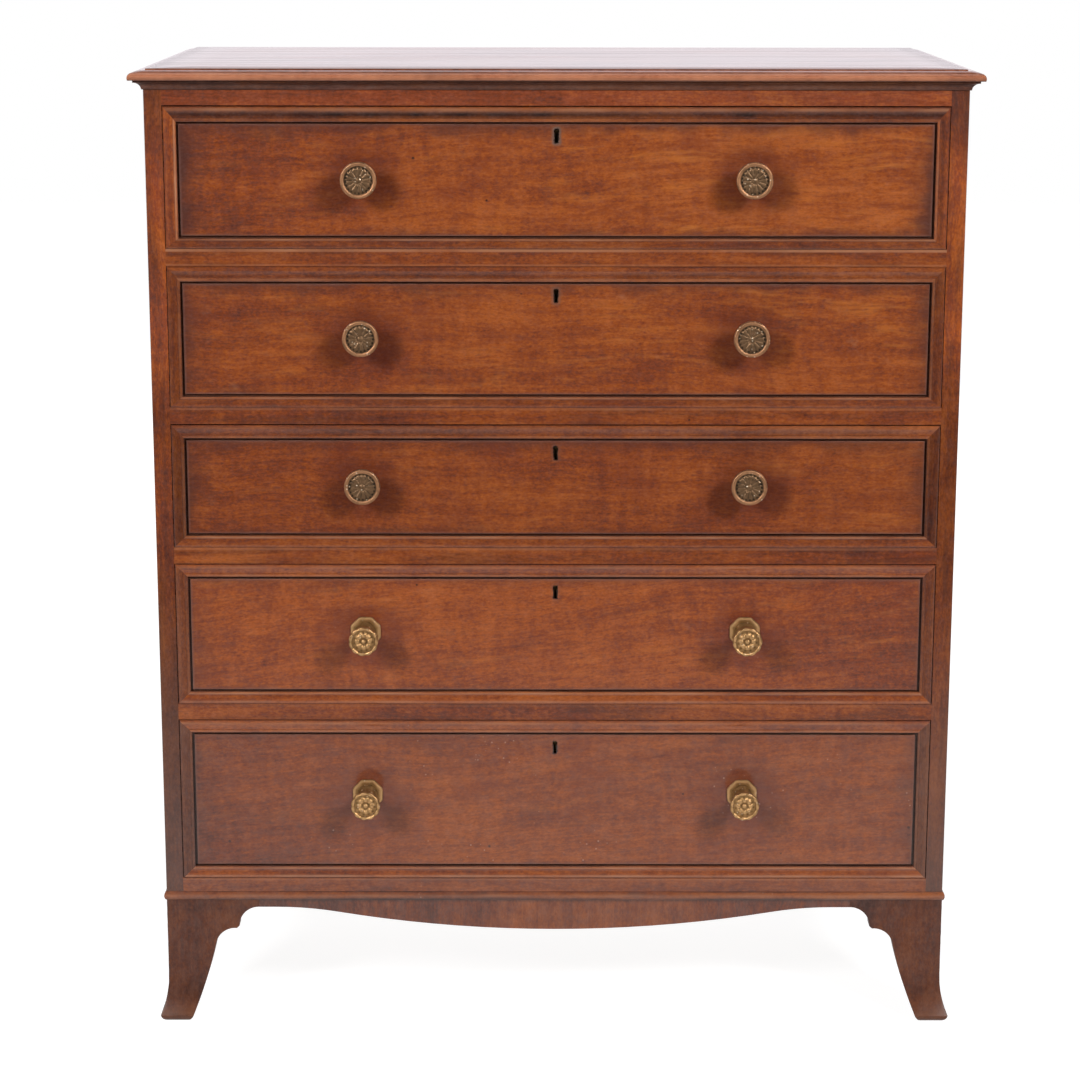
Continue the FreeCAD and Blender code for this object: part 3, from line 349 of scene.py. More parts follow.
def shadeLines(colour, wood, tone, lines):
    # Painted shade under or over a moulding: (height, width, strength)
    for level, width, strength in lines:
        colour = over(colour, wood.band(level, width, width * 0.1) * strength, tone["grime"])
    return colour


def highlightAndWearLines(colour, wood, tone, lines):
    # lines painted lighter: wear with a painted highlight on an edge
    for level, width, strength in lines:
        patch = wood.patches(0.10, 0.30, 0.60) * (0.6 * strength) + 0.4 * strength
        colour = over(colour, wood.band(level, width * 0.75, width * 0.25) * patch, tone["worn"])
    return colour


def keyholeShadeAndWear(colour, wood, tone, keyhole):
    # Near-black painted shade close to the hole, which widens its dark; then rubbed bare wood round it
    keyZ, halfHigh, halfWide, depth = keyhole
    beyondX = calc("MAXIMUM", abs(wood.x) - halfWide, 0.0)
    beyondZ = calc("MAXIMUM", abs(wood.z - keyZ) - halfHigh, 0.0)
    outside = calc("SQRT", beyondX * beyondX + beyondZ * beyondZ) + (wood.parts["mottle"] * 0.004 - 0.002)
    colour = over(colour, fade(outside, 0.0062, 0.0026) * depth, tone["keyRub"])
    return over(colour, fade(outside, 0.0024, 0.0010), tone["keyDirt"])


def grooveHighlightAndShade(colour, wood, tone, groove):
    # Painted highlight, with some rubbing, on the edges of the open groove, and painted shade on its dark
    # walls
    faceY, edge, deep = groove
    worn = wood.depths(faceY + 0.00004, faceY + edge, 0.00008, edge * 0.2)
    patch = wood.patches(0.09, 0.38, 0.62) * 0.55 + 0.15
    colour = over(colour, worn * patch, tone["grooveEdge"])
    walls = wood.depths(faceY + edge, faceY + deep + 0.0006, edge * 0.2, 0.0003)
    return over(colour, walls * 0.95, tone["groove"])


def arrisWearAndHighlight(colour, wood, tone, arris):
    # Outer edge of a piece painted lighter: wear with a painted highlight
    faceY, deep, strength = arris
    worn = wood.depths(faceY + 0.00004, faceY + deep * 1.3, 0.00010, deep * 0.35)
    return over(colour, worn * wood.patches(0.07, 0.36, 0.60) * strength, tone["worn"])


def profileShadeAndHighlight(colour, wood, tone, on):
    # The piece's own attributes say where its moulding is painted darker, dirt with painted shade, and where
    # lighter, rubbed bare with a painted highlight
    for attribute, paint in (("dirtAndShade", "grime"), ("rubbedAndHighlit", "worn")):
        share = node(wood.place.tree, "Attribute", {}, "Fac", attribute_name=attribute)
        colour = over(colour, share, tone[paint])
    return colour


def heightTones(colour, wood, tone, ladder):
    # Tone by height, left and right apart, and how grey it is there: (height, left, right, grey)
    highest = ladder[-1][0]
    uneven = (wood.blotch - 0.5) * 0.12 + wood.z + (wood.parts["flame"] - 0.5) * 0.05
    stops = [(height / highest, (left / 2, right / 2, share)) for height, left, right, share in ladder]
    rungs = node(colour.tree, "SeparateColor", {0: ramp(uneven / highest, stops)})
    onLeft = fade(wood.x, 0.002, -0.002)
    factor = (rungs * onLeft + rungs.out(1) * (1.0 - onLeft)) * 2.0
    grey = node(colour.tree, "CombineColor", {0: factor, 1: factor, 2: factor})
    return over(over(colour, 1.0, grey, "MULTIPLY"), rungs.out(2), tone["veil"])


# what time has done to the wood, with painted shade and painted highlights among it, in the order in which it
# is laid over the ground
wearAndShadingSteps = {"gold": goldStreaks, "marks": redFlecks, "panel": panelShadeAndHighlight, "halo": handledAndShadedRings,
             "specks": paleChips, "dents": wormholes, "edging": smudges, "shadows": shadeLines,
             "crests": highlightAndWearLines, "keyhole": keyholeShadeAndWear, "groove": grooveHighlightAndShade, "arris": arrisWearAndHighlight,
             "profiled": profileShadeAndHighlight, "ladder": heightTones}


def mahogany(name, grain="x", seed=0.0, figure=1.0, bright=1.0, grey=0.0, slant=0.0, shade=(0, 0, 0),
             streaks=0.0, roughness=0.50, coat=0.9, polish=0.12, tones=None, **wear):
    # Ground colour, the steps of wear with painted shade and highlights, a veil of dust, and a coat of polish
    material, place = freshMaterial(name)
    tone = dict(mahoganyTones, **(tones or {}))
    wood = WoodPlace(place, grain, seed, slant)
    colour = groundColour(wood, tone, figure, shade)
    wear = {"dents": 1.0, **wear}
    for word, step in wearAndShadingSteps.items():
        if wear.get(word):
            colour = step(colour, wood, tone, wear[word])
    if bright != 1.0:
        colour = over(colour, 1.0, (bright,) * 3, "MULTIPLY")
    # thin uneven veil of dust and old wax
    veil = fade(wood.layer(0.020, 0.012, 17.0, 5, 0.75), 0.40, 0.66)
    colour = over(colour, veil * (0.05 + 0.5 * grey) + 0.75 * grey, tone["veil"])
    # fine greyish flecks: painted sheen, as if the polish caught the light unevenly
    bluish = fade(wood.layer(0.0050, 0.0032, 19.0, 3, 0.65), 0.44, 0.70)
    colour = over(colour, bluish * 0.10, tone["bluish"])
    if streaks:
        # polish rubbed thin in long streaks
        coat = fade(wood.layer(0.45, 0.030, 20.0, 4, 0.65), 0.42, 0.66) * -streaks + coat
    profiled = wear.get("profiled")
    roughMap = (wood.blotch - 0.5) * (0.05 if profiled else 0.30) + roughness
    bumps = [(wood.parts["mottle"] * 0.5 - wood.pore * 0.6, 0.15, 0.0003)]
    if not profiled:
        bumps.insert(0, (noise(place, 2, 0.5, 9.0), 0.16, 0.0010))        # hand-planed, so slightly wavy
    finishShader(colour, roughMap, bumps, **{"Coat Weight": coat, "Coat Roughness": polish, "Coat IOR": 1.5,
                                             "Specular IOR Level": 0.08})
    return material


def pine(name, grain="x", seed=0.0):
    # Straight softwood rings drawn out along the grain, greyed by dust
    material, place = freshMaterial(name)
    mid, pale, dark = (0.32, 0.165, 0.074), (0.40, 0.20625, 0.0925), (0.2432, 0.1122, 0.0444)
    swayed = swaying(place, 2.3, 2.0, 0.03)
    rings = noise(stretched(swayed, grain, 0.90, 0.0070, seed), 2, 0.45)
    fibre = noise(stretched(swayed, grain, 0.030, 0.0008, seed + 4), 2, 0.6)
    cloud = noise(stretched(place, grain, 0.30, 0.12, seed + 8), 4, 0.6)
    colour = ramp(rings, [(0.36, pale), (0.52, mid), (0.60, dark), (0.66, mid)])
    colour = over(colour, fade(fibre, 0.46, 0.30) * 0.35, dark)
    colour = over(colour, fade(cloud, 0.40, 0.70) * 0.30, (0.12, 0.085, 0.060))
    finishShader(colour, 0.78, [(fibre, 0.30, 0.0004)], **{"Specular IOR Level": 0.25})
    return material


def oak(name, seed=0.0, grain="y"):
    # Drawer linings: open dark pores and pale rays in a yellow-brown ground
    material, place = freshMaterial(name)
    swayed = swaying(place, 4.0, 2.0, 0.03)
    rings = noise(stretched(swayed, grain, 0.50, 0.0065, seed), 3, 0.5)
    pores = noise(stretched(swayed, grain, 0.016, 0.0006, seed + 3), 2, 0.6)
    rays = noise(stretched(place, grain, 0.010, 0.0035, seed + 7), 2, 0.5)
    colour = ramp(rings, [(0.34, (0.36, 0.186, 0.082)), (0.52, (0.31, 0.152, 0.064)),
                          (0.66, (0.25, 0.116, 0.047))])
    colour = over(colour, fade(rays, 0.60, 0.70) * 0.22, (0.46, 0.30, 0.16))
    colour = over(colour, fade(pores, 0.44, 0.32) * 0.55, (0.070, 0.036, 0.018))
    finishShader(colour, 0.62, [(pores, 0.35, 0.0004)], **{"Specular IOR Level": 0.3})
    return material


def brass(name, bright, dull, pits, roughness, seed, glints=0.0):
    # Cast brass: rubbed bright on what stands up, dull on the faces, brown in the hollows.
    # Without a colour for the pits it is plain sheet brass and reads no relief.
    material, place = freshMaterial(name)
    grainy = noise(place, 4, 0.65, 260.0)
    patchy = noise(node(place.tree, "Mapping", {"Vector": place, "Location": (seed,) * 3}), 3, 0.6, 70.0)
    if pits:
        relief = node(place.tree, "Attribute", {}, "Fac", attribute_name="relief")
        level = (grainy - 0.5) * 0.45 + relief + (patchy - 0.5) * 0.30
        colour = ramp(level, [(0.06, pits), (0.42, dull), (0.60, dull), (0.92, bright)])
    else:
        colour = over(bright, fade(patchy, 0.38, 0.64), dull)
    # painted glints: bright specks laid into the brass colour
    if glints:
        near, chance = cells(place, 330.0)
        spark = fade(near, 0.42, 0.20) * fade(chance, 0.84, 0.92)
        colour = over(colour, spark * glints, (0.90, 0.72, 0.52))
    finishShader(colour, grainy * 0.30 + (roughness - 0.10), [(grainy, 0.30, 0.0004)], Metallic=0.8)
    return material


def iron(name):
    material, place = freshMaterial(name)
    patchy = noise(place, 5, 0.65, 90.0)
    colour = ramp(patchy, [(0.35, (0.10, 0.095, 0.09)), (0.55, (0.055, 0.045, 0.038)),
                           (0.70, (0.16, 0.065, 0.025))])
    finishShader(colour, patchy * 0.4 + 0.3, [(patchy, 0.3, 0.0005)], Metallic=0.7)
    return material


def arc(start, end, radius, side, steps):
    # Points from start to end on a circle of the radius; its centre lies left of the way for side 1
    start, end = np.array(start, float), np.array(end, float)
    chord = end - start
    length = np.linalg.norm(chord)
    normal = np.array([-chord[1], chord[0]]) / length
    centre = (start + end) / 2 + normal * side * math.sqrt(radius ** 2 - (length / 2) ** 2)
    first = math.atan2(*(start - centre)[::-1])
    sweep = 2 * math.asin(length / 2 / radius) * side
    angles = first + sweep * np.linspace(0, 1, steps + 1)
    return centre + radius * np.stack([np.cos(angles), np.sin(angles)], axis=1)


def joined(*stretches):
    # One outline from points and arcs, without doubled points
    points = np.concatenate([np.atleast_2d(np.array(s, float)) for s in stretches])
    keep = np.r_[True, np.linalg.norm(np.diff(points, axis=0), axis=1) > 1e-6]
    return points[keep]


def softened(corners, radii, steps=3, least=25):
    # Each corner [.., n, dim] of closed loops becomes a short curve between points a radius either side
    # of it. Corners that turn less than least degrees are kept as one doubled point.
    corners = np.asarray(corners, float)
    before, after = np.roll(corners, 1, axis=-2) - corners, np.roll(corners, -1, axis=-2) - corners
    lengthBefore = np.linalg.norm(before, axis=-1, keepdims=True)
    lengthAfter = np.linalg.norm(after, axis=-1, keepdims=True)
    before, after = before / lengthBefore, after / lengthAfter
    radii = np.broadcast_to(np.asarray(radii, float).reshape(-1, 1), lengthBefore.shape)
    turning = np.degrees(np.arccos(np.clip(-(before * after).sum(-1, keepdims=True), -1, 1)))
    cut = np.where(turning < least, 0, np.minimum(radii, 0.45 * np.minimum(lengthBefore, lengthAfter)))
    first, last = corners + before * cut, corners + after * cut
    share = np.linspace(0, 1, steps + 1)[:, None]
    curve = ((1 - share) ** 2 * first[..., None, :] + 2 * share * (1 - share) * corners[..., None, :]
             + share ** 2 * last[..., None, :])
    return curve.reshape(*corners.shape[:-2], -1, corners.shape[-1])


def tidyOutline(points):
    # Drops doubled points of a closed outline
    step = np.linalg.norm(points - np.roll(points, 1, axis=0), axis=1)
    return points[step > 1e-7]


def wander(position, seed, wavelength, octaves=4):
    # Smooth chance curve between about -1 and 1: sines, each about half as long and strong as the last
    chance = np.random.default_rng(seed)
    total = np.zeros_like(np.asarray(position, float))
    for octave in range(octaves):
        pitch = 2 ** octave * chance.uniform(0.8, 1.25) / wavelength
        total = total + 0.5 ** octave * np.sin(2 * np.pi * (position * pitch + chance.uniform()))
    return total / 1.6


def nicks(position, seed, pitch, width):
    # Rare rounded dents along a line: 0 between them, up to 1 at their middles
    position = np.asarray(position, float)
    chance = np.random.default_rng(seed)
    low, high = position.min(), position.max()
    count = max(1, int((high - low) / pitch))
    total = np.zeros_like(position)
    for middle, size, depth in zip(chance.uniform(low, high, count), chance.uniform(0.5, 1.6, count),
                                   chance.uniform(0.3, 1, count)):
        total = np.maximum(total, depth * np.exp(-((position - middle) / (width * size)) ** 2))
    return total


def gridFaces(rows, around, closed=True, caps=True, looped=False):
    # Four-sided faces of a grid of points: each row closes round itself, the caps close the first and
    # the last row, and a looped grid joins its last row to its first
    index = np.arange(rows * around).reshape(rows, around)
    chain = np.concatenate([index, index[:1]]) if looped else index
    here, following = (chain, np.roll(chain, -1, axis=1)) if closed else (chain[:, :-1], chain[:, 1:])
    quads = np.stack([here[:-1], following[:-1], following[1:], here[1:]], axis=-1).reshape(-1, 4).tolist()
    if caps:
        quads += [index[0][::-1].tolist(), index[-1].tolist()]
    return quads


def makePiece(name, points, faces, body, material, replaced, attributes, sharp=34):
    # A mesh from points and faces, turned so that its faces point outwards
    mesh = bpy.data.meshes.new(name)
    mesh.from_pydata(np.asarray(points, float).reshape(-1, 3).tolist(), [], faces)
    mesh.update()
    mesh.calc_loop_triangles()
    corners = np.zeros(len(mesh.loop_triangles) * 3, np.int32)
    mesh.loop_triangles.foreach_get("vertices", corners)
    places = np.zeros(len(mesh.vertices) * 3)
    mesh.vertices.foreach_get("co", places)
    a, b, c = places.reshape(-1, 3)[corners.reshape(-1, 3)].transpose(1, 0, 2)
    if (a * np.cross(b, c)).sum() < 0:
        mesh.flip_normals()
    for key, values in attributes.items():
        layer = mesh.attributes.new(key, "FLOAT", "POINT")
        layer.data.foreach_set("value", np.asarray(values, np.float32).ravel())
    mesh.shade_smooth()
    mesh.set_sharp_from_angle(angle=math.radians(sharp))
    mesh.materials.append(material)
    piece = bpy.data.objects.new(name, mesh)
    bpy.context.scene.collection.objects.link(piece)
    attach(piece, body)
    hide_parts(*replaced)


def profileMarks(outline, lightenedAt, darkenedAt):
    # How much each point of a profile is painted lighter (wear with painted highlight) and darker (dirt with
    # painted shade): bumps (place, centre, width, strength)
    # where place is 0 for reach or 1 for rise
    rubbedAndHighlit, darkened = np.zeros(len(outline)), np.zeros(len(outline))
    for total, bumps in ((rubbedAndHighlit, lightenedAt), (darkened, darkenedAt)):
        for axis, centre, width, strength in bumps:
            total[:] = np.maximum(total, strength * np.exp(-((outline[:, axis] - centre) / width) ** 2))
    return rubbedAndHighlit, darkened


def strip(name, outline, start, along, out, rise, length, mitres, body, slot, material, replaced,
          marks, seed, step=0.006, wearDepth=0.00025, stains=()):
    # A closed profile (reach, rise) carried from start along a straight line. At reach r each end is
    # moved by its mitre times r, so a factor of 1 is an outside corner and -1 an inside one.
    start, along, out, rise = (np.array(v, float) for v in (start, along, out, rise))
    stations = max(3, int(length / step))
    share = np.linspace(0, 1, stations)[:, None]
    reach, height = outline[:, 0][None], outline[:, 1][None]
    position = share * (length + (mitres[0] + mitres[1]) * reach) - mitres[0] * reach
    rubbedAndHighlit, darkened = marks
    # worn places sink a little, unevenly along the piece
    uneven = 0.6 + 0.4 * wander(position, seed, 0.11)
    knocks = 1.6 * nicks(position[:, 0], seed + 1, 0.12, 0.0022)[:, None]
    sink = rubbedAndHighlit * wearDepth * (uneven + knocks)
    points = (start + position[..., None] * along + (reach - sink)[..., None] * out
              + (height + 0 * position)[..., None] * rise)
    patchy = np.clip(0.5 + 0.55 * wander(position, seed + 2, 0.17, 5), 0, 1)
    darkPatchy = np.clip(0.55 + 0.6 * wander(position, seed + 3, 0.42, 4), 0, 1)
    if stains:
        darkPatchy = 0.40 + 0.30 * darkPatchy
        for low, high in stains:
            inside = np.clip(np.minimum(position - low, high - position) / 0.03 + 0.5, 0, 1)
            darkPatchy = np.maximum(darkPatchy, inside * (0.85 + 0.15 * wander(position, seed + 5, 0.06)))
    attributes = {"rubbedAndHighlit": rubbedAndHighlit * (0.35 + 0.65 * patchy),
                  "dirtAndShade": np.clip(darkened * (0.25 + 0.75 * darkPatchy), 0, 1)}
    makePiece(name, points, gridFaces(stations, len(outline)), body, material, replaced, attributes)


# angles in degrees: down from level, to the left, and roll
cameraSettings = {"lens": 93.257, "sensor": 36, "place": (-0.0244, -3.6588, 1.4097),
                  "down": 12.749, "left": -0.085, "roll": 0.076}


def makeCamera(settings):
    data = bpy.data.cameras.new("Camera")
    data.lens = settings["lens"]
    data.sensor_width = settings["sensor"]
    camera = bpy.data.objects.new("Camera", data)
    turned = (Matrix.Rotation(math.radians(settings["left"]), 4, "Z")
              @ Matrix.Rotation(math.radians(90 - settings["down"]), 4, "X")
              @ Matrix.Rotation(math.radians(settings["roll"]), 4, "Z"))
    camera.matrix_world = Matrix.Translation(settings["place"]) @ turned
    bpy.context.scene.collection.objects.link(camera)
    bpy.context.scene.camera = camera
    bpy.context.scene.view_settings.view_transform = "Standard"


lampSettings = {
    "left": {"place": (-2.55, -3.35, 2.55), "size": 0.85, "watts": 112, "aim": (0, -0.2, 0.65)},
    "right": {"place": (2.55, -3.35, 2.80), "size": 0.85, "watts": 132, "aim": (0, -0.2, 0.65)},
    "above": {"place": (0, 0.6, 4.6), "size": 3.0, "watts": 30, "aim": (0, 0.1, 1.2)},
    "behind": {"place": (0, 4.2, 1.9), "size": 2.6, "watts": 75, "aim": (0, 0.3, 0.7), "glossy": False},
}


def makeLamps(settings):
    for name, lamp in settings.items():
        data = bpy.data.lights.new("lamp_" + name, "AREA")
        data.shape = "SQUARE"
        data.size = lamp["size"]
        data.energy = lamp["watts"]
        holder = bpy.data.objects.new("lamp_" + name, data)
        way = Vector(lamp["aim"]) - Vector(lamp["place"])
        turned = way.to_track_quat("-Z", "Y").to_matrix().to_4x4()
        holder.matrix_world = Matrix.Translation(lamp["place"]) @ turned
        holder.visible_camera = False
        holder.visible_glossy = lamp.get("glossy", True)
        bpy.context.scene.collection.objects.link(holder)


worldSettings = {"ambient": 0.05, "mirrored": 0.01}        # strength for matt and for mirroring surfaces


def seenDirectly(path):
    # 1 for rays from the camera, also through something clear
    return calc("MAXIMUM", path.out("Is Camera Ray"), path.out("Is Transmission Ray"))


def makeWorld(settings):
    # White to the camera, a dim room to everything else
    world = bpy.data.worlds.new("Studio")
    world.use_nodes = True
    bpy.context.scene.world = world
    tree = world.node_tree
    tree.nodes.clear()
    path = node(tree, "LightPath", {})
    seen = seenDirectly(path)
    dim = path.out("Is Glossy Ray") * (settings["mirrored"] - settings["ambient"]) + settings["ambient"]
    background = node(tree, "Background", {0: (1, 1, 1), 1: seen + dim * (1.0 - seen)})
    node(tree, "OutputWorld", {0: background})


# what the eye sees round the chest glows from dim to full between two distances; the paper ends there too
floorSettings = {"half": 30.0, "paperEnd": (0.5, 3.1), "paperGlow": 0.85, "shade": 0.75, "matt": 0.30,
                 "glow": (0.91, 1.0), "glowFade": (0.8, 1.9)}
wallSettings = {"half": 12, "far": 10, "height": 8, "tint": (1.0, 0.945, 1.0)}


def makeSheet(name, corners, material):
    mesh = bpy.data.meshes.new(name)
    mesh.from_pydata(corners, [], [(0, 1, 2, 3)])
    mesh.materials.append(material)
    sheet = bpy.data.objects.new(name, mesh)
    bpy.context.scene.collection.objects.link(sheet)
    return sheet


def makeFloor(settings):
    # Pale floor: the eye sees white with the chest's soft shadow; polished wood mirrors a sheet of white
    # paper that ends a few metres in front
    material, place = freshMaterial("pale_floor")
    tree = place.tree
    split = node(tree, "SeparateXYZ", {0: place})
    x, y = split, split.out(1)
    path = node(tree, "LightPath", {})
    near, far = settings["paperEnd"]
    paper = fade(y * -1.0, far, near)
    # distance from the chest's middle: the shadow shows only near it
    distance = calc("SQRT", x * x + y * y)
    dim, full = settings["glow"]
    away = fade(distance, *settings["glowFade"]) * (full - dim) + dim
    matt = node(tree, "BsdfDiffuse", {0: (settings["matt"],) * 3})
    lit = node(tree, "AddShader", {0: matt, 1: node(tree, "Emission", {0: (1, 1, 1), 1: away})})
    mirrored = node(tree, "Emission", {0: (1, 1, 1), 1: paper * settings["paperGlow"]})
    plain = node(tree, "BsdfDiffuse", {0: (settings["shade"],) * 3})
    unseen = node(tree, "MixShader", {0: path.out("Is Glossy Ray"), 1: plain, 2: mirrored})
    node(tree, "OutputMaterial", {0: node(tree, "MixShader", {0: seenDirectly(path), 1: unseen, 2: lit})})
    half = settings["half"]
    corners = [(-half, -half, 0), (half, -half, 0), (half, half, 0), (-half, half, 0)]
    floor = makeSheet("floor", corners, material)
    floor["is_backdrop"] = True


def makeWall(settings):
    # A white wall far behind, for what the top mirrors
    material, place = freshMaterial("white_wall")
    seen = node(place.tree, "LightPath", {}, "Is Camera Ray")
    glow = node(place.tree, "Emission", {0: over(settings["tint"], seen, (1, 1, 1)), 1: 1.0})
    node(place.tree, "OutputMaterial", {0: glow})
    half, far, height = settings["half"], settings["far"], settings["height"]
    corners = [(-half, far, 0), (half, far, 0), (half, far, height), (-half, far, height)]
    wall = makeSheet("backdrop", corners, material)
    wall.visible_diffuse = False
    wall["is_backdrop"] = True


makeCamera(cameraSettings)
makeLamps(lampSettings)
makeWorld(worldSettings)
makeFloor(floorSettings)
makeWall(wallSettings)
print("camera, lamps and floor made")

# mm, and the slope in degrees; pitch is the distance between stations along the edge
topSettings = {"noseRadius": 6.5, "noseTip": 2.9, "slope": 22.0, "stepSet": 3.0, "border": 60.0,
               "underArris": 0.6, "stepArris": 0.5, "pitch": 8.0, "wear": 0.35}


def topOutline(settings):
    # Open profile (reach, rise) in metres from the underside round the nose, over the ovolo and the step
    overhang = (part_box("top_board")[1].x - halfWidth) / mm
    thickness = (topHead - topFoot) / mm
    nose, tip, slope = settings["noseRadius"], settings["noseTip"], math.radians(settings["slope"])
    middle = overhang - nose
    angles = np.linspace(-math.asin(tip / nose), math.pi / 2 - slope, 13)
    nosePoints = np.stack([middle + nose * np.cos(angles), tip + nose * np.sin(angles)], axis=1)
    meet = nosePoints[-1]
    ovolo = (meet[0] + settings["stepSet"]) / math.sin(slope)
    tilts = np.linspace(slope, 0, 7)
    ovoloPoints = np.stack([-settings["stepSet"] + ovolo * np.sin(tilts),
                            meet[1] + ovolo * (np.cos(tilts) - math.cos(slope))], axis=1)
    arris, inward = settings["stepArris"], -settings["stepSet"]
    step = [(inward, thickness - arris), (inward - 0.3 * arris, thickness - 0.3 * arris),
            (inward - arris, thickness)]
    foot = [(-settings["border"], 0), (nosePoints[0][0] - settings["underArris"], 0)]
    return joined(foot, nosePoints, ovoloPoints, step, [(-settings["border"], thickness)]) * mm


def makeTop(settings, material):
    # The profile runs round the left end, the front and the right end; flat faces close the middle
    outline = topOutline(settings)
    corners = np.array([[-halfWidth, backPlane], [-halfWidth, frontPlane], [halfWidth, frontPlane],
                        [halfWidth, backPlane]])
    outward = np.array([[-1, 0], [-1, -1], [1, -1], [1, 0]], float)
    base, spread = [], []
    for leg in range(3):
        count = int(np.linalg.norm(corners[leg + 1] - corners[leg]) / (settings["pitch"] * mm))
        share = np.linspace(0, 1, count, endpoint=leg == 2)[:, None]
        base.append(corners[leg] + share * (corners[leg + 1] - corners[leg]))
        spread.append(outward[leg] + share * (outward[leg + 1] - outward[leg]))
    base, spread = np.concatenate(base), np.concatenate(spread)
    # away from the corners the sideways shift fades linearly, so every line of the profile stays straight
    run = np.r_[0, np.cumsum(np.linalg.norm(np.diff(base, axis=0), axis=1))]
    reach, rise = outline[:, 0], outline[:, 1]
    noseLike = np.exp(-((reach - reach.max()) / 0.007) ** 2) * (rise > 0.001)
    stepLike = np.exp(-(((reach + (settings["stepSet"] - 0.8) * mm) / 0.0022) ** 2)) * (rise > 0.0125)
    underLike = (rise < 0.0035) * (reach > reach.max() - 0.008)
    uneven = 0.35 + 0.3 * wander(run, 5, 0.23)[:, None] + nicks(run, 6, 0.10, 0.003)[:, None]
    wear = noseLike[None] * uneven * settings["wear"] * mm
    points = np.zeros((len(base), len(outline), 3))
    points[..., :2] = base[:, None] + spread[:, None] * (reach[None] - wear)[..., None]
    points[..., 2] = topFoot + rise
    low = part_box("top_board")[0]
    points[..., 0] = np.clip(points[..., 0], low.x, -low.x)
    rows, around = points.shape[:2]
    faces = gridFaces(rows, around, closed=False, caps=False)
    index = np.arange(rows * around).reshape(rows, around)
    faces += [index[:, 0].tolist(), index[::-1, -1].tolist()]
    faces.append(index[0][::-1].tolist() + index[-1].tolist())
    # the nose is painted lighter, wear with a painted highlight; the step and the underside of the nose are
    # painted darker, painted shade with dirt in the step
    patchy = np.clip(0.55 + 0.35 * wander(run, 7, 0.21, 5) + 0.3 * wander(run, 8, 0.018, 4), 0, 1)[:, None]
    rubbedAndHighlit = noseLike[None] * (0.35 + 0.50 * patchy)
    dirtAndShade = np.maximum(stepLike[None] * (0.6 + 0.3 * patchy), 0.75 * underLike[None])
    makePiece("moulded_top", points, faces, "carcase", material, ["top_board"],
              {"rubbedAndHighlit": rubbedAndHighlit, "dirtAndShade": dirtAndShade}, sharp=40)


topWood = mahogany("top_mahogany", "x", seed=21.0, profiled=True, figure=0.9, roughness=0.35, coat=0.94,
                   polish=0.10, streaks=0.16,
                   tones={"mid": (0.33, 0.095, 0.044), "light": (0.44, 0.17, 0.095),
                          "worn": (0.450, 0.180, 0.095), "grime": (0.070, 0.032, 0.022)})
makeTop(topSettings, topWood)


def wrapStrips(name, outline, level, replaced, material, marks, seed):
    # Front strip mitred at both ends, side strips mitred at the front corner
    common = {"body": "carcase", "slot": "carcase_mahogany", "material": material, "replaced": [replaced],
              "marks": marks}
    strip(name + "_front", outline, (-halfWidth, frontPlane, level), (1, 0, 0), (0, -1, 0), (0, 0, 1),
          2 * halfWidth, (1, 1), seed=seed, **common)
    for word, side in hands.items():
        strip(f"{name}_{word}", outline, (side * halfWidth, frontPlane, level), (0, 1, 0), (side, 0, 0),
              (0, 0, 1), backPlane - frontPlane, (1, 0), seed=seed + side, **common)


# cove under the top and bead round the foot: profiles (reach, rise) in mm
coveOutline = joined([(0, 0), (1.9, 0)], arc((1.9, 1.0), (10.2, 8.5), 9, -1, 12),
                     [(11, 8.5), (11, 11.3), (0, 11.3)])
coveOutline = tidyOutline(softened(coveOutline, 0.35)) * mm
# the cove is painted darker along its foot and lighter near its top
coveMarks = profileMarks(coveOutline, [(1, 9.6 * mm, 0.5 * mm, 0.15)],
                         [(1, 0.4 * mm, 1.1 * mm, 0.9), (0, 1.9 * mm, 0.7 * mm, 0.5)])
coveWood = mahogany("cove_mahogany", "x", seed=31.0, profiled=True, bright=0.36, grey=0.17, dents=0.0,
                    coat=0.25)
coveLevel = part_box("top_cove_moulding")[0].z
wrapStrips("cove", coveOutline, coveLevel, "top_cove_moulding", coveWood, coveMarks, 40)

beadOutline = joined([(0, 0)], arc((0.8, 0), (0.8, 11.3), 8.9, 1, 16), [(0, 11.3)])
beadOutline = tidyOutline(softened(beadOutline, 0.3)) * mm
# the bead's middle is painted lighter, a painted highlight where it faces up, with wear; its top and bottom
# edges darker, painted shade with dirt
beadMarks = profileMarks(beadOutline, [(1, 6.6 * mm, 2.2 * mm, 0.55)],
                         [(1, 0.6 * mm, 2.2 * mm, 0.95), (1, 11.1 * mm, 0.9 * mm, 0.8)])
beadWood = mahogany("bead_mahogany", "x", seed=33.0, profiled=True, bright=0.82, grey=0.16, specks=0.7)
wrapStrips("bead", beadOutline, carcaseFoot, "base_bead_moulding", beadWood, beadMarks, 50)
print("top and mouldings made")

borderWidth, grooveWidth = 14.5, 3.8        # mm, on all four sides of a drawer front
blockDrops = {1: 2.8, 2: 2.2, 3: 1.0, 4: 0.0, 5: 0.0}    # raised blocks below the middle of their drawers
# profile (reach, rise) in mm from the outer edge; the lip reaches a little over the groove's edge
borderOutline = joined([(0, -4), (0, -0.4)], arc((0, -0.4), (2.9, 2.2), 2.9, -1, 8)[1:],
                       [(4.1, 2.2)], arc((4.1, 2.2), (10.9, 0.35), 15, 1, 10)[1:],
                       [(11.5, 0.35), (12.1, 1.1), (12.7, 1.2), (13.3, 1.25), (13.9, 1.2), (14.4, 1.1)],
                       arc((14.4, 1.1), (15.7, -0.2), 1.4, -1, 6)[1:],
                       [(15.7, -3.9), (14.5, -3.9)])
borderOutline = tidyOutline(softened(borderOutline, 0.22))

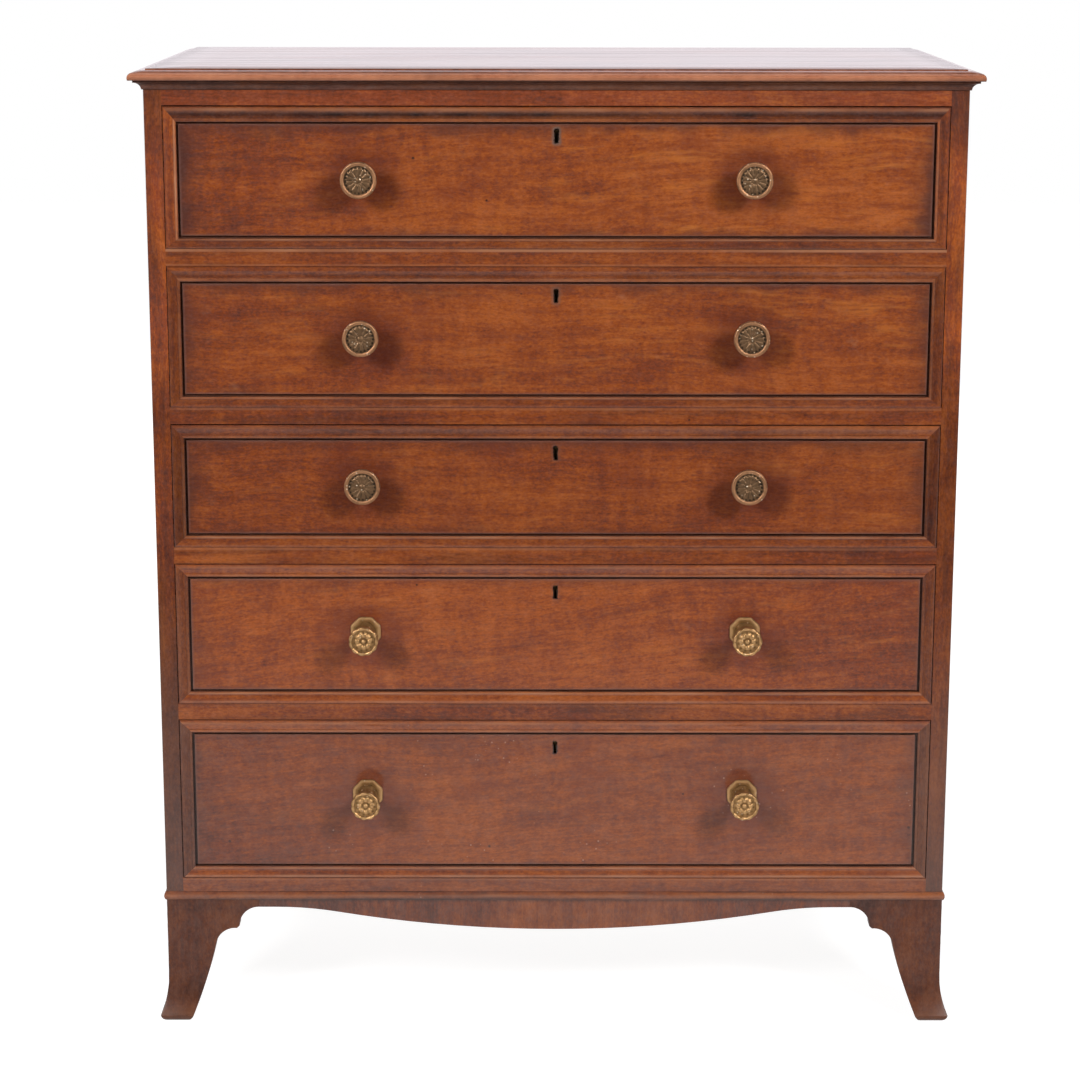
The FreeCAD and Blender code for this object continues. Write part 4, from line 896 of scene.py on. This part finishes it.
# For each strip: how much its crest and its lip are painted lighter (wear with painted highlight, most where
# they face up), how much its hollow is painted darker (dirt with painted shade), and how far the edge closes
# the gap to the rail (mm)
borderWearAndShading = {
    1: {"top": (0.85, 0.30, 1.15, 0.0), "bottom": (0.10, 1.00, 0.10, 0.5),
        "left": (0.12, 1.00, 0.30, 0.3), "right": (0.05, 0.40, 0.55, 0.3)},
    2: {"top": (0.05, 0.60, 0.45, 0.9), "bottom": (0.10, 0.85, 0.35, 0.7),
        "left": (0.10, 0.40, 0.30, 0.4), "right": (0.05, 0.45, 0.40, 0.4)},
    3: {"top": (0.35, 0.35, 0.45, 0.0), "bottom": (0.10, 1.00, 0.15, 0.6),
        "left": (0.10, 0.40, 0.35, 0.4), "right": (0.05, 0.30, 0.35, 0.4)},
    4: {"top": (0.55, 0.45, 0.05, 0.3), "bottom": (0.50, 0.85, 0.05, 0.7),
        "left": (0.30, 0.25, 0.25, 0.3), "right": (0.05, 0.20, 0.25, 0.3)},
    5: {"top": (0.55, 0.55, 0.05, 0.3), "bottom": (0.85, 0.85, 0.05, 0.2),
        "left": (0.15, 0.20, 0.20, 0.3), "right": (0.15, 0.30, 0.25, 0.3)},
}
# near-black stretches of the topmost hollow: (from, to) in metres from the strip's right end
borderStains = {1: ((0.227, 0.274), (0.470, 0.800))}

# shade: lighter or darker at the left end, all over, and at the right end; gold: left and right;
# border: brightness of the long strips, the left and the right one
drawerLooks = {
    1: {"bright": 0.93, "grey": 0.00, "figure": 0.62, "edges": 0.95, "keyRub": 0.9, "slant": 1.5,
        "shade": (-0.09, 0.02, 0.03), "marks": 0.4, "gold": (0.30, 0.80), "specks": 0.0,
        "border": (0.78, 1.14, 1.12)},
    2: {"bright": 0.92, "grey": 0.00, "figure": 0.55, "edges": 0.80, "keyRub": 0.45, "slant": -1.0,
        "shade": (-0.09, 0.03, -0.02), "marks": 0.9, "gold": (0.30, 0.65), "specks": 0.0,
        "border": (0.86, 0.70, 0.70)},
    3: {"bright": 0.87, "grey": 0.00, "figure": 0.46, "edges": 0.70, "keyRub": 0.25, "slant": 0.5,
        "shade": (-0.07, -0.01, 0.08), "marks": 0.5, "gold": (0.25, 0.40), "specks": 0.0,
        "border": (0.90, 0.58, 0.54)},
    4: {"bright": 1.05, "grey": 0.03, "figure": 0.45, "edges": 0.50, "keyRub": 0.20, "slant": 5.0,
        "shade": (0.0, 0.02, -0.09), "marks": 0.4, "gold": (0.30, 0.30), "specks": 0.15,
        "border": (0.90, 0.58, 0.56)},
    5: {"bright": 0.92, "grey": 0.11, "figure": 0.42, "edges": 0.50, "keyRub": 0.20, "slant": 4.0,
        "shade": (-0.12, 0.0, 0.0), "marks": 0.3, "gold": (0.15, 0.20), "specks": 0.8,
        "border": (1.06, 0.46, 0.44)},
}


def stripOutline(width, closing):
    # The moulding drawn out to a strip's width; its outer edge is moved out by closing
    outline = borderOutline.copy()
    outline[:, 0] = outline[:, 0] * width / borderWidth
    outline[:, 0] -= closing * np.clip(1 - outline[:, 0] / 2.9, 0, 1)
    return outline


def stripMarks(outline, width, crest, lip, dirtAndShade):
    # Crest and lip are painted lighter, wear with a painted highlight; the hollow, the quirk beside the lip
    # and both edges are painted darker, dirt with painted shade
    stretch = width / borderWidth
    lightenedAt = [(0, 2.9 * stretch, 1.7 * stretch, crest), (0, 13.4 * stretch, 1.5 * stretch, lip)]
    darkenedAt = [(0, 8.0 * stretch, 3.6 * stretch, 0.9 * dirtAndShade),
               (0, 11.4 * stretch, 0.6 * stretch, 0.3 + 0.5 * dirtAndShade),
               (0, 15.7 * stretch, 0.6, 0.8), (0, 0.0, 0.6, 0.4)]
    return profileMarks(outline, lightenedAt, darkenedAt)


def panelLimits(number):
    # Inner edges of the border: the raised block stands lower than the middle of the upper drawers
    low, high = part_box(f"drawer_{number}_front")
    drop = blockDrops[number] * mm
    margin = (borderWidth + grooveWidth) * mm
    return high.x - margin, low.z + margin - drop, high.z - margin - drop


def makeBorder(number, look):
    name = f"drawer_{number}"
    low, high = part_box(f"{name}_border")
    wood = {}
    for way, grain, tint in zip(("across", "left", "right"), "xzz", look["border"]):
        wood[way] = mahogany(f"{name}_border_{way}_wood", grain, seed=60.0 + 7 * number + len(way),
                             profiled=True, bright=tint * look["bright"], grey=look["grey"], figure=0.7,
                             dents=0.3, specks=0.5 if number == 5 and way == "across" else 0.0)
    across, upright = high.x - low.x, high.z - low.z
    drop = blockDrops[number]
    width = {"bottom": borderWidth - drop, "right": borderWidth,
             "top": borderWidth + drop, "left": borderWidth}
    strips = {
        "bottom": ((low.x, low.z), (1, 0), (0, 1), across, "across", ("left", "right")),
        "right": ((high.x, low.z), (0, 1), (-1, 0), upright, "right", ("bottom", "top")),
        "top": ((high.x, high.z), (-1, 0), (0, -1), across, "across", ("right", "left")),
        "left": ((low.x, high.z), (0, -1), (1, 0), upright, "left", ("top", "bottom")),
    }
    for order, (word, (start, along, inward, length, way, neighbours)) in enumerate(strips.items()):
        crest, lip, dirtAndShade, closing = borderWearAndShading[number][word]
        outline = stripOutline(width[word], closing)
        marks = stripMarks(outline, width[word], crest, lip, dirtAndShade)
        mitres = [-width[neighbour] / width[word] for neighbour in neighbours]
        strip(f"{name}_border_{word}", outline * mm, (start[0], frontPlane, start[1]),
              (along[0], 0, along[1]), (inward[0], 0, inward[1]), (0, -1, 0), length, mitres,
              name, "drawer_mahogany", wood[way], [f"{name}_border"], marks, 100 * number + 10 * order,
              wearDepth=0.0, stains=borderStains.get(number, ()) if word == "top" else ())


for number in drawerNumbers:
    makeBorder(number, drawerLooks[number])
print("drawer borders made")

# mm; heights from the floor, reach and widths from the outer corner
footSettings = {"reach": 119, "wall": 21, "width": 31, "heel": 8, "legRadius": 570, "knee": (62, 99),
                "bracketRadius": 26, "cusp": 3, "under": 151, "flare": 9.5, "frontFlare": 19,
                "flareStart": 55, "frontStart": 85, "flareEnd": 9, "toeRadius": 10, "outerArris": 1.6,
                "arris": 0.9, "flarePower": 2.6, "hollows": 0.18}


def footOutside(height, settings, flare):
    # How far the splayed side stands in from the carcase line: straight, then a hollow curve out to the
    # toe, then the toe's round underside
    start, end = settings["flareStart"], settings["flareEnd"]
    radius = ((start - end) ** 2 + flare ** 2) / (2 * flare)
    toe = settings["toeRadius"]
    toeEnd = math.sqrt(2 * end * toe - end ** 2) - flare
    curve = -radius + np.sqrt(np.maximum(radius ** 2 - (start - height) ** 2, 0))
    underside = toeEnd - np.sqrt(np.maximum(toe ** 2 - (toe - height) ** 2, 0))
    return np.where(height >= start, 0, np.where(height >= end, curve, underside))


def footFront(height, settings, rear):
    # The front face swells forward slowly and ends in the same round underside; rear feet are straight
    if rear:
        return 0 * height
    start, end, flare = settings["frontStart"], settings["flareEnd"], settings["frontFlare"]
    share = np.clip((start - height) / (start - end), 0, 1)
    toe = settings["toeRadius"]
    tuck = toe - np.sqrt(np.maximum(toe ** 2 - np.maximum(toe - height, 0) ** 2, 0))
    return -flare * share ** settings["flarePower"] + tuck


def footInside(settings):
    # Inner edge of the foot from the floor up: heel, long leg curve and the two hollows of the bracket
    s = settings
    edge = s["reach"] - s["bracketRadius"]
    cuspHead = s["under"] - s["bracketRadius"]
    leg = arc((s["width"], 4), s["knee"], s["legRadius"], 1, 22)
    lower = arc(s["knee"], (edge - s["cusp"], cuspHead - s["cusp"]), s["bracketRadius"], -1, 14)
    upper = arc((edge, cuspHead), (s["reach"], s["under"]), s["bracketRadius"], -1, 16)
    return leg, lower, upper


def footRows(settings):
    # For each row: the inner edge's place and height, and the height of the outer corner opposite it
    s = settings
    leg, lower, upper = footInside(s)
    toeAngles = np.linspace(0, math.acos(1 - s["flareEnd"] / s["toeRadius"]), 9)
    toeHeights = s["toeRadius"] * (1 - np.cos(toeAngles))
    legHeights = np.linspace(s["flareEnd"], s["knee"][1], 30)[1:]
    heights = np.concatenate([toeHeights, legHeights])
    rounding = s["heel"] - np.sqrt(np.maximum(s["heel"] ** 2 - np.maximum(s["heel"] - heights, 0) ** 2, 0))
    inner = np.interp(heights, leg[:, 1], leg[:, 0]) - rounding
    head = carcaseFoot / mm
    bracket = np.concatenate([lower[1:], upper, [[s["reach"], head]]])
    run = np.cumsum(np.linalg.norm(np.diff(np.concatenate([lower[:1], bracket]), axis=0), axis=1))
    outer = s["knee"][1] + (head - s["knee"][1]) * run / run[-1]
    return (np.concatenate([inner, bracket[:, 0]]), np.concatenate([heights, bracket[:, 1]]),
            np.concatenate([heights, outer]))


def makeFoot(name, settings, side, rear, material, replaced, seed):
    # Rings round the angle of the two walls: four outer corners, the two inner ends and the inner angle
    inner, innerHeight, outerHeight = footRows(settings)
    wall = settings["wall"] + 0 * inner
    splayX = footOutside(outerHeight, settings, settings["flare"])
    splayInnerX = footOutside(innerHeight, settings, settings["flare"])
    splayY, splayInnerY = (footFront(h, settings, rear) for h in (outerHeight, innerHeight))
    middle = (settings["wall"] - splayX) / (inner - splayX)
    angleHeight = outerHeight + (innerHeight - outerHeight) * middle
    corners = np.stack([
        np.stack([inner, wall, innerHeight], axis=1),
        np.stack([inner, splayInnerY, innerHeight], axis=1),
        np.stack([splayX, splayY, outerHeight], axis=1),
        np.stack([splayInnerX, inner, innerHeight], axis=1),
        np.stack([wall, inner, innerHeight], axis=1),
        np.stack([wall, wall, angleHeight], axis=1),
    ], axis=1)
    arris = settings["arris"]
    rings = softened(corners, [arris, arris, settings["outerArris"], arris, arris, 0.5], steps=4, least=0)
    # hand-shaped surface: slight hollows and knocks
    rings[..., 0] -= settings["hollows"] * np.abs(wander(rings[..., 2], seed, 46)) * (rings[..., 0] < 3)
    points = rings * mm
    points[..., 0] = side * (halfWidth - points[..., 0])
    points[..., 1] = backPlane - points[..., 1] if rear else frontPlane + points[..., 1]
    # painted lighter round the toe, wear with a painted highlight; darker in the hollow above it, and darker
    # under the bead, painted shade with dirt
    across, deep, height = rings.transpose(2, 0, 1)
    lightPatch = np.clip(0.5 + 0.6 * wander(deep + across, seed + 4, 19), 0, 1)
    dimPatch = np.clip(0.5 + 0.5 * wander(across, seed + 9, 60), 0, 1)
    dirtAndShade = 0.55 * np.exp(-((height - 40) / 20) ** 2) + 0.5 * np.exp(-((height - 158) / 12) ** 2)
    rubbedAndHighlit = 0.42 * np.exp(-((height - 11) / 7.5) ** 2)
    makePiece(name, points, gridFaces(*points.shape[:2]), "carcase", material,
              replaced, {"rubbedAndHighlit": rubbedAndHighlit * lightPatch, "dirtAndShade": dirtAndShade * dimPatch}, sharp=38)


footWood = mahogany("foot_mahogany", "z", seed=81.0, profiled=True, bright=0.40, grey=0.11, figure=0.9,
                    roughness=0.6, coat=0.45, polish=0.28)
for word, side in hands.items():
    makeFoot(f"foot_front_{word}", footSettings, side, False, footWood, ["front_feet"], 300 + side)
    makeFoot(f"foot_rear_{word}", footSettings, side, True, footWood, ["rear_feet"], 310 + side)
print("feet made")

# mm; petals or leaves of the face, pits inside the rim, and the backplate's radius
knobSettings = {
    "upper": {"drawers": (1, 2, 3), "radius": 22.3, "rimWidth": 5.4, "petals": 13, "pits": 21,
              "plate": 15.0},
    "lower": {"drawers": (4, 5), "radius": 18.5, "rimWidth": 4.6, "petals": 8, "pits": 11,
              "plate": 20.3},
}
for settings in knobSettings.values():
    settings["reach"] = (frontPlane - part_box(f"drawer_{settings['drawers'][0]}_knobs")[0].y) / mm
plateFlat = knobSettings["lower"]["plate"] * math.cos(math.pi / 8)
knobOutermost = {"upper": knobSettings["upper"]["radius"],
                 "lower": max(plateFlat, knobSettings["lower"]["radius"])}
knobTurns, plateTurns, nutTurns = 176, 128, 48        # points round each piece


def ringAngles(count):
    return np.linspace(0, 2 * np.pi, count, endpoint=False)[None]


def bump(position, low, high):
    # 0 outside low to high, 1 in the middle, smooth
    share = np.clip((position - low) / (high - low), 0, 1)
    return np.sin(np.pi * share)


def upperFace(r, angle, s):
    # Rosette: height and tone of long petals, a boss in the middle and a ring of pits inside the rim
    inside = s["radius"] - s["rimWidth"]
    petal = np.abs(np.cos(angle * s["petals"] / 2))
    span = np.clip((r - 3.6) / 2.5, 0, 1) * np.clip((inside - 1.6 - r) / 2.2, 0, 1) ** 0.6
    height = 1.0 * span * (0.25 + 0.75 * petal ** 0.6) * (0.5 + 0.5 * r / inside)
    boss = np.sqrt(np.maximum(0, 1 - (r / 3.4) ** 2))
    pit = bump(r, inside - 3.2, inside + 0.6) * np.clip(0.5 + np.cos(angle * s["pits"] + 0.6) * 0.9, 0, 1)
    tone = 0.38 + 0.16 * span * petal + 0.10 * boss - 0.16 * span * (1 - petal) ** 2 - 0.34 * pit
    tone += 0.10 * wander(angle + 0 * r, 71, 2.1) + 0.08 * wander(r * 0.5 + 2 * np.sin(angle), 72, 5.0)
    return np.maximum(height - 0.5 * pit * (height > 0), 1.4 * boss), tone


def lowerFace(r, angle, s):
    # Ring of small leaves round a sunk middle with a bead
    leaf = np.abs(np.cos(angle * s["petals"] / 2)) ** 0.8
    ring = bump(r, 4.4, 11.2) ** 0.6
    boss = np.sqrt(np.maximum(0, 1 - (r / 2.8) ** 2))
    pit = bump(r, 9.2, 13.6) * np.clip(0.35 + np.cos(angle * s["pits"] + 0.9), 0, 1)
    hollow = bump(r, 2.6, 6.0)
    tone = 0.66 + 0.22 * ring * leaf + 0.25 * boss - 0.48 * hollow - 0.46 * pit - 0.16 * ring * (1 - leaf)
    return np.maximum(1.8 * ring * (0.45 + 0.55 * leaf), 1.7 * boss), tone


def knobSurface(kind, s):
    # Rings of points: distance from the axis and depth in front of the drawer, for every angle.
    # Face, rim, back of the head, waist, foot and shank follow each other.
    angle = ringAngles(knobTurns)
    rim, inside, face = s["radius"], s["radius"] - s["rimWidth"], s["reach"]
    floor = face - 2.4
    r = np.concatenate([[0.25], np.linspace(0.9, inside, 34)])[:, None]
    height, faceTone = (upperFace if kind == "upper" else lowerFace)(r, angle, s)
    radii, depths, tones = [r + 0 * angle], [floor + height], [faceTone]
    # rim: inner wall, rounded crest, outer round; the lower knobs have a lobed rim
    steps = np.linspace(0, 1, 9)[:, None]
    inner = np.concatenate([inside + 0.5 * steps[:4], inside + 0.9 + (s["rimWidth"] - 2.9) * steps[1:]])
    rise = np.concatenate([floor + (face - floor - 0.6) * steps[:4] * 2,
                           face - 0.5 + 0.5 * np.sin(steps[1:] * np.pi / 2)])
    rise = np.minimum(rise, face)
    lobes = (1 - np.abs(np.cos(angle * s["pits"] / 2))) if kind == "lower" else 0 * angle
    radii.append(inner + 0 * angle)
    depths.append(rise - 1.0 * lobes * (1 - np.clip((inner - inside) / 3, 0, 1)))
    crestTone = np.clip((inner - inside) / 1.1, 0.55, 1) * (0.88 - 0.22 * lobes)
    tones.append(crestTone + 0.10 * wander(angle, 73, 1.7))
    turn = np.linspace(0, np.pi / 2, 7)[1:, None]
    radii.append(rim - 2 + 2 * np.sin(turn) - 0.7 * lobes)
    depths.append(face - 2 + 2 * np.cos(turn) + 0 * angle)
    tones.append(0.92 - 0.30 * lobes - 0.28 * turn / turn.max() + 0.12 * wander(angle, 74, 1.3))
    # side, bevel and waist behind the head, then the foot on the plate: (radius, depth)
    back = [(rim, face - 4.4), (rim - 0.5, face - 5.6), (rim - 1.7, face - 7.1), (rim - 3.6, face - 8.2),
            (rim - 7.0, face - 9.6), (9.2, face - 11.4), (8.0, face - 14.2), (7.5, face / 2),
            (7.7, face * 0.36), (8.5, face * 0.27), (9.6, 8.4), (11.0, 6.6), (12.2, 5.4), (12.5, 4.6),
            (12.5, 3.2), (3.0, 3.2), (3.0, -26.8), (0.3, -27.0)]
    for distance, depth in back:
        radii.append(distance + 0 * angle - (0.5 * lobes if distance == rim else 0))
        depths.append(depth + 0 * angle)
        tones.append((0.5 if depth > face - 6 else 0.3) + 0 * angle)
    return np.concatenate(radii), np.concatenate(depths), np.concatenate(tones)


def makeTurned(name, body, middle, material, radii, depths, tones, sharp, band=True):
    # Rings of points round a knob's axis: the rings' radii and depths in mm. The last ring of a band joins
    # its first; anything else is closed by a face at each end.
    angle = ringAngles(radii.shape[1])
    points = np.zeros((*radii.shape, 3))
    points[..., 0] = middle[0] + radii * np.cos(angle) * mm
    points[..., 1] = frontPlane - depths * mm
    points[..., 2] = middle[1] + radii * np.sin(angle) * mm
    faces = gridFaces(*radii.shape, caps=not band, looped=band)
    makePiece(name, points, faces, body, material, [f"{body}_knobs"], {"relief": tones}, sharp)


def makeKnob(name, body, kind, s, middle, material):
    radii, depths, tones = knobSurface(kind, s)
    makeTurned(name, body, middle, material, radii, depths, tones, 50, band=False)


# profile of each backplate from its hole outwards: (distance beyond the edge, depth, tone)
# the tones darken towards the hole: painted shade under the knob's head; the raised edge is rubbed bright
plateRows = {
    "upper": [(-5.4, 3.1, 0.3), (-2.6, 2.9, 0.4), (-1.6, 3.2, 0.9), (-0.7, 2.6, 0.7), (-0.2, 1.9, 0.5),
              (0, 1.3, 0.4), (0, 0, 0.3)],
    "lower": [(-8.6, 2.4, 0.10), (-6.6, 2.5, 0.42), (-5.0, 2.6, 0.62), (-4.2, 2.7, 0.72), (-3.3, 3.1, 0.90),
              (-2.2, 3.2, 1.0), (-1.2, 2.9, 0.95), (-0.25, 1.9, 0.70), (0, 1.4, 0.45), (0, 0, 0.3)],
}
plateInside = {"upper": 3.1, "lower": 2.2}        # depth of the plate under the knob's foot


def makePlate(name, body, kind, s, middle, material):
    # Backplate: a ring with a moulded edge, round or eight-sided with soft corners
    angle = ringAngles(plateTurns)
    edge = s["plate"] + 0 * angle
    if kind == "lower":
        fold = np.mod(angle + np.pi / 8, np.pi / 4) - np.pi / 8    # flats face the axes
        edge = 0.5 + np.minimum(s["plate"] * math.cos(math.pi / 8) / np.cos(fold), s["plate"] * 0.976)
    inside = plateInside[kind]
    beyond, edgeDepths, edgeTones = np.array(plateRows[kind]).T[..., None]
    radii = np.concatenate([np.array([3.5, 3.5, 8.0])[:, None] + 0 * angle, edge + beyond])
    depths = np.concatenate([[[0], [inside], [inside]], edgeDepths]) + 0 * angle
    tones = np.concatenate([[[0.2]] * 3, edgeTones]) + 0.10 * wander(angle, 75, 1.9)
    makeTurned(name, body, middle, material, radii, depths, tones, 26)


def makeNut(name, body, middle, material):
    # Square nut with chamfered corners on the shank's end: each row is (hole or largest radius, depth)
    angle = ringAngles(nutTurns)
    square = 6 / np.cos(np.mod(angle + np.pi / 4, np.pi / 2) - np.pi / 4)
    largest, depths = np.array([(3.05, -20.0), (7.6, -20.0), (8.2, -20.5), (8.2, -24.4), (7.2, -25.0),
                                (3.05, -25.0)]).T[..., None]
    radii = np.minimum(square, largest)
    makeTurned(name, body, middle, material, radii, depths, 0.4 + 0 * radii, 30)


knobBrass = {
    "upper": brass("aged_knob_brass", (0.47, 0.228, 0.112), (0.200, 0.112, 0.056), (0.045, 0.028, 0.017),
                   roughness=0.42, seed=1.0, glints=0.8),
    "lower": brass("gilt_knob_brass", (0.66, 0.385, 0.172), (0.360, 0.200, 0.078), (0.110, 0.056, 0.020),
                   roughness=0.38, seed=2.0, glints=0.5),
}
for kind, settings in knobSettings.items():
    for number in settings["drawers"]:
        body = f"drawer_{number}"
        low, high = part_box(f"{body}_knobs")
        for word, side in hands.items():
            middle = (side * (high.x - knobOutermost[kind] * mm), (low.z + high.z) / 2)
            makeKnob(f"{body}_knob_{word}", body, kind, settings, middle, knobBrass[kind])
            makePlate(f"{body}_plate_{word}", body, kind, settings, middle, knobBrass[kind])
            makeNut(f"{body}_nut_{word}", body, middle, knobBrass["upper"])
print("knobs made")


def dress(name, material):
    # Finish of a piece that is kept from the frame
    piece = nodes[name]
    piece.data.materials.clear()
    piece.data.materials.append(material)


# mm: keyhole from the front's top edge, groove behind the face, reach of the dark rings round the knobs
frontSettings = {"keyCentre": 30.0, "keyAbove": 3.2, "keyBelow": 13.5, "keyInset": 1.2, "keyHalf": 1.3,
                 "grooveEdge": 0.9, "grooveDeep": 4.0, "haloReach": 58.0, "haloStrength": 0.62}

for number in drawerNumbers:
    name = f"drawer_{number}"
    look = drawerLooks[number]
    low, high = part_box(f"{name}_front")
    knobLow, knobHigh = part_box(f"{name}_knobs")
    knobX = knobHigh.x - knobOutermost["upper" if number < 4 else "lower"] * mm
    s = frontSettings
    keyTop = high.z + (s["keyAbove"] - s["keyCentre"]) * mm
    keyFoot = high.z - (s["keyBelow"] + s["keyCentre"]) * mm
    keyHalf = (keyTop - keyFoot) / 2 - s["keyInset"] * mm
    dress(f"{name}_front", mahogany(
        f"{name}_front_wood", "x", seed=3.0 * number, figure=look["figure"], bright=look["bright"],
        grey=look["grey"], slant=look["slant"], shade=look["shade"], marks=look["marks"], gold=look["gold"],
        panel=(*panelLimits(number), look["edges"]),
        halo=(knobX, (knobLow.z + knobHigh.z) / 2, s["haloReach"] * mm, s["haloStrength"]),
        keyhole=((keyTop + keyFoot) / 2, keyHalf, s["keyHalf"] * mm, look["keyRub"]),
        groove=(frontPlane, s["grooveEdge"] * mm, s["grooveDeep"] * mm), specks=look["specks"]))
    lining = oak(f"{name}_lining", seed=5.0 * number)
    liningAcross = oak(f"{name}_lining_across", seed=5.0 * number + 2, grain="x")
    dress(f"{name}_sides", lining)
    dress(f"{name}_back", liningAcross)
    dress(f"{name}_bottom", liningAcross)

# lines painted lighter along the rails' edges, wear with a painted highlight: (height, width, strength)
railTops = {number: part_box(f"drawer_{number}_front")[0].z - 0.3 * mm for number in drawerNumbers}
railFeet = {number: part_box(f"drawer_{number}_front")[1].z + 1.0 * mm for number in drawerNumbers}
railLines = [(railTops[1] - 2.0 * mm, 3.4 * mm, 0.85), (railFeet[2] + 1.6 * mm, 2.4 * mm, 0.35),
             (railTops[2] - 2.0 * mm, 3.2 * mm, 0.30), (railTops[3] - 2.0 * mm, 3.6 * mm, 0.30),
             (railTops[4] - 2.4 * mm, 4.0 * mm, 0.12)]
railWood = mahogany("rail_mahogany", "x", seed=41.0, bright=0.84, figure=0.8, edging=0.40, crests=railLines)
dress("drawer_rails", railWood)
dress("top_rail", mahogany("top_rail_mahogany", "x", seed=43.0, bright=0.92, figure=0.9, edging=0.2,
                           tones={"mid": (0.25, 0.055, 0.018)}))
dress("bottom_rail", mahogany("bottom_rail_mahogany", "x", seed=45.0, bright=0.82, grey=0.14, figure=0.9,
                              crests=[(railTops[5] - 1.8 * mm, 3.0 * mm, 0.30)], specks=0.7))
# tone of the stiles by height: (height, left, right, grey)
stileTones = [
    (0.0, 0.40, 0.40, 0.30), (0.20, 0.50, 0.45, 0.25), (0.40, 0.35, 0.75, 0.10), (0.55, 0.70, 0.80, 0.0),
    (0.66, 1.20, 0.70, 0.0), (0.80, 0.80, 0.70, 0.0), (0.90, 1.70, 1.50, 0.0), (0.98, 1.10, 1.05, 0.0),
    (1.09, 1.50, 1.55, 0.0), (1.16, 0.80, 0.75, 0.05), (1.22, 0.30, 0.80, 0.06),
]
dress("front_stiles", mahogany("stile_mahogany", "z", seed=47.0, bright=0.84, figure=0.80, edging=0.40,
                               arris=(frontPlane, 1.6 * mm, 0.35), ladder=stileTones))
for word, side in hands.items():
    dress(f"{word}_side_panel",
          mahogany(f"{word}_side_mahogany", "z", seed=49.0 + side, bright=0.9, figure=0.85))
# the apron is painted darker just under the bead: painted shade
apronWood = mahogany("apron_mahogany", "z", seed=53.0, bright=0.74, grey=0.16, figure=0.9,
                     shade=(-0.25, 0.0, -0.25), shadows=[(carcaseFoot, 5 * mm, 0.55)])
dress("front_apron", apronWood)
dress("side_aprons", apronWood)

# way of the grain in the pieces of pine
pineFor = {"rear_top_rail": "x", "dust_boards": "x", "drawer_runners": "y", "drawer_stops": "y",
           "bottom_board": "x", "back_boards": "z", "foot_glue_blocks": "z"}
for index, (name, grain) in enumerate(pineFor.items()):
    dress(name, pine(f"{name}_pine", grain, seed=6.0 * index))
lockBrass = brass("lock_brass_finish", (0.40, 0.27, 0.12), (0.26, 0.16, 0.075), None, roughness=0.4, seed=3.0)
boltIron = iron("bolt_iron_finish")
for number in drawerNumbers:
    dress(f"drawer_{number}_lock", lockBrass)
    dress(f"drawer_{number}_lock_bolt", boltIron)
print("finishes made")

low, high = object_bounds()
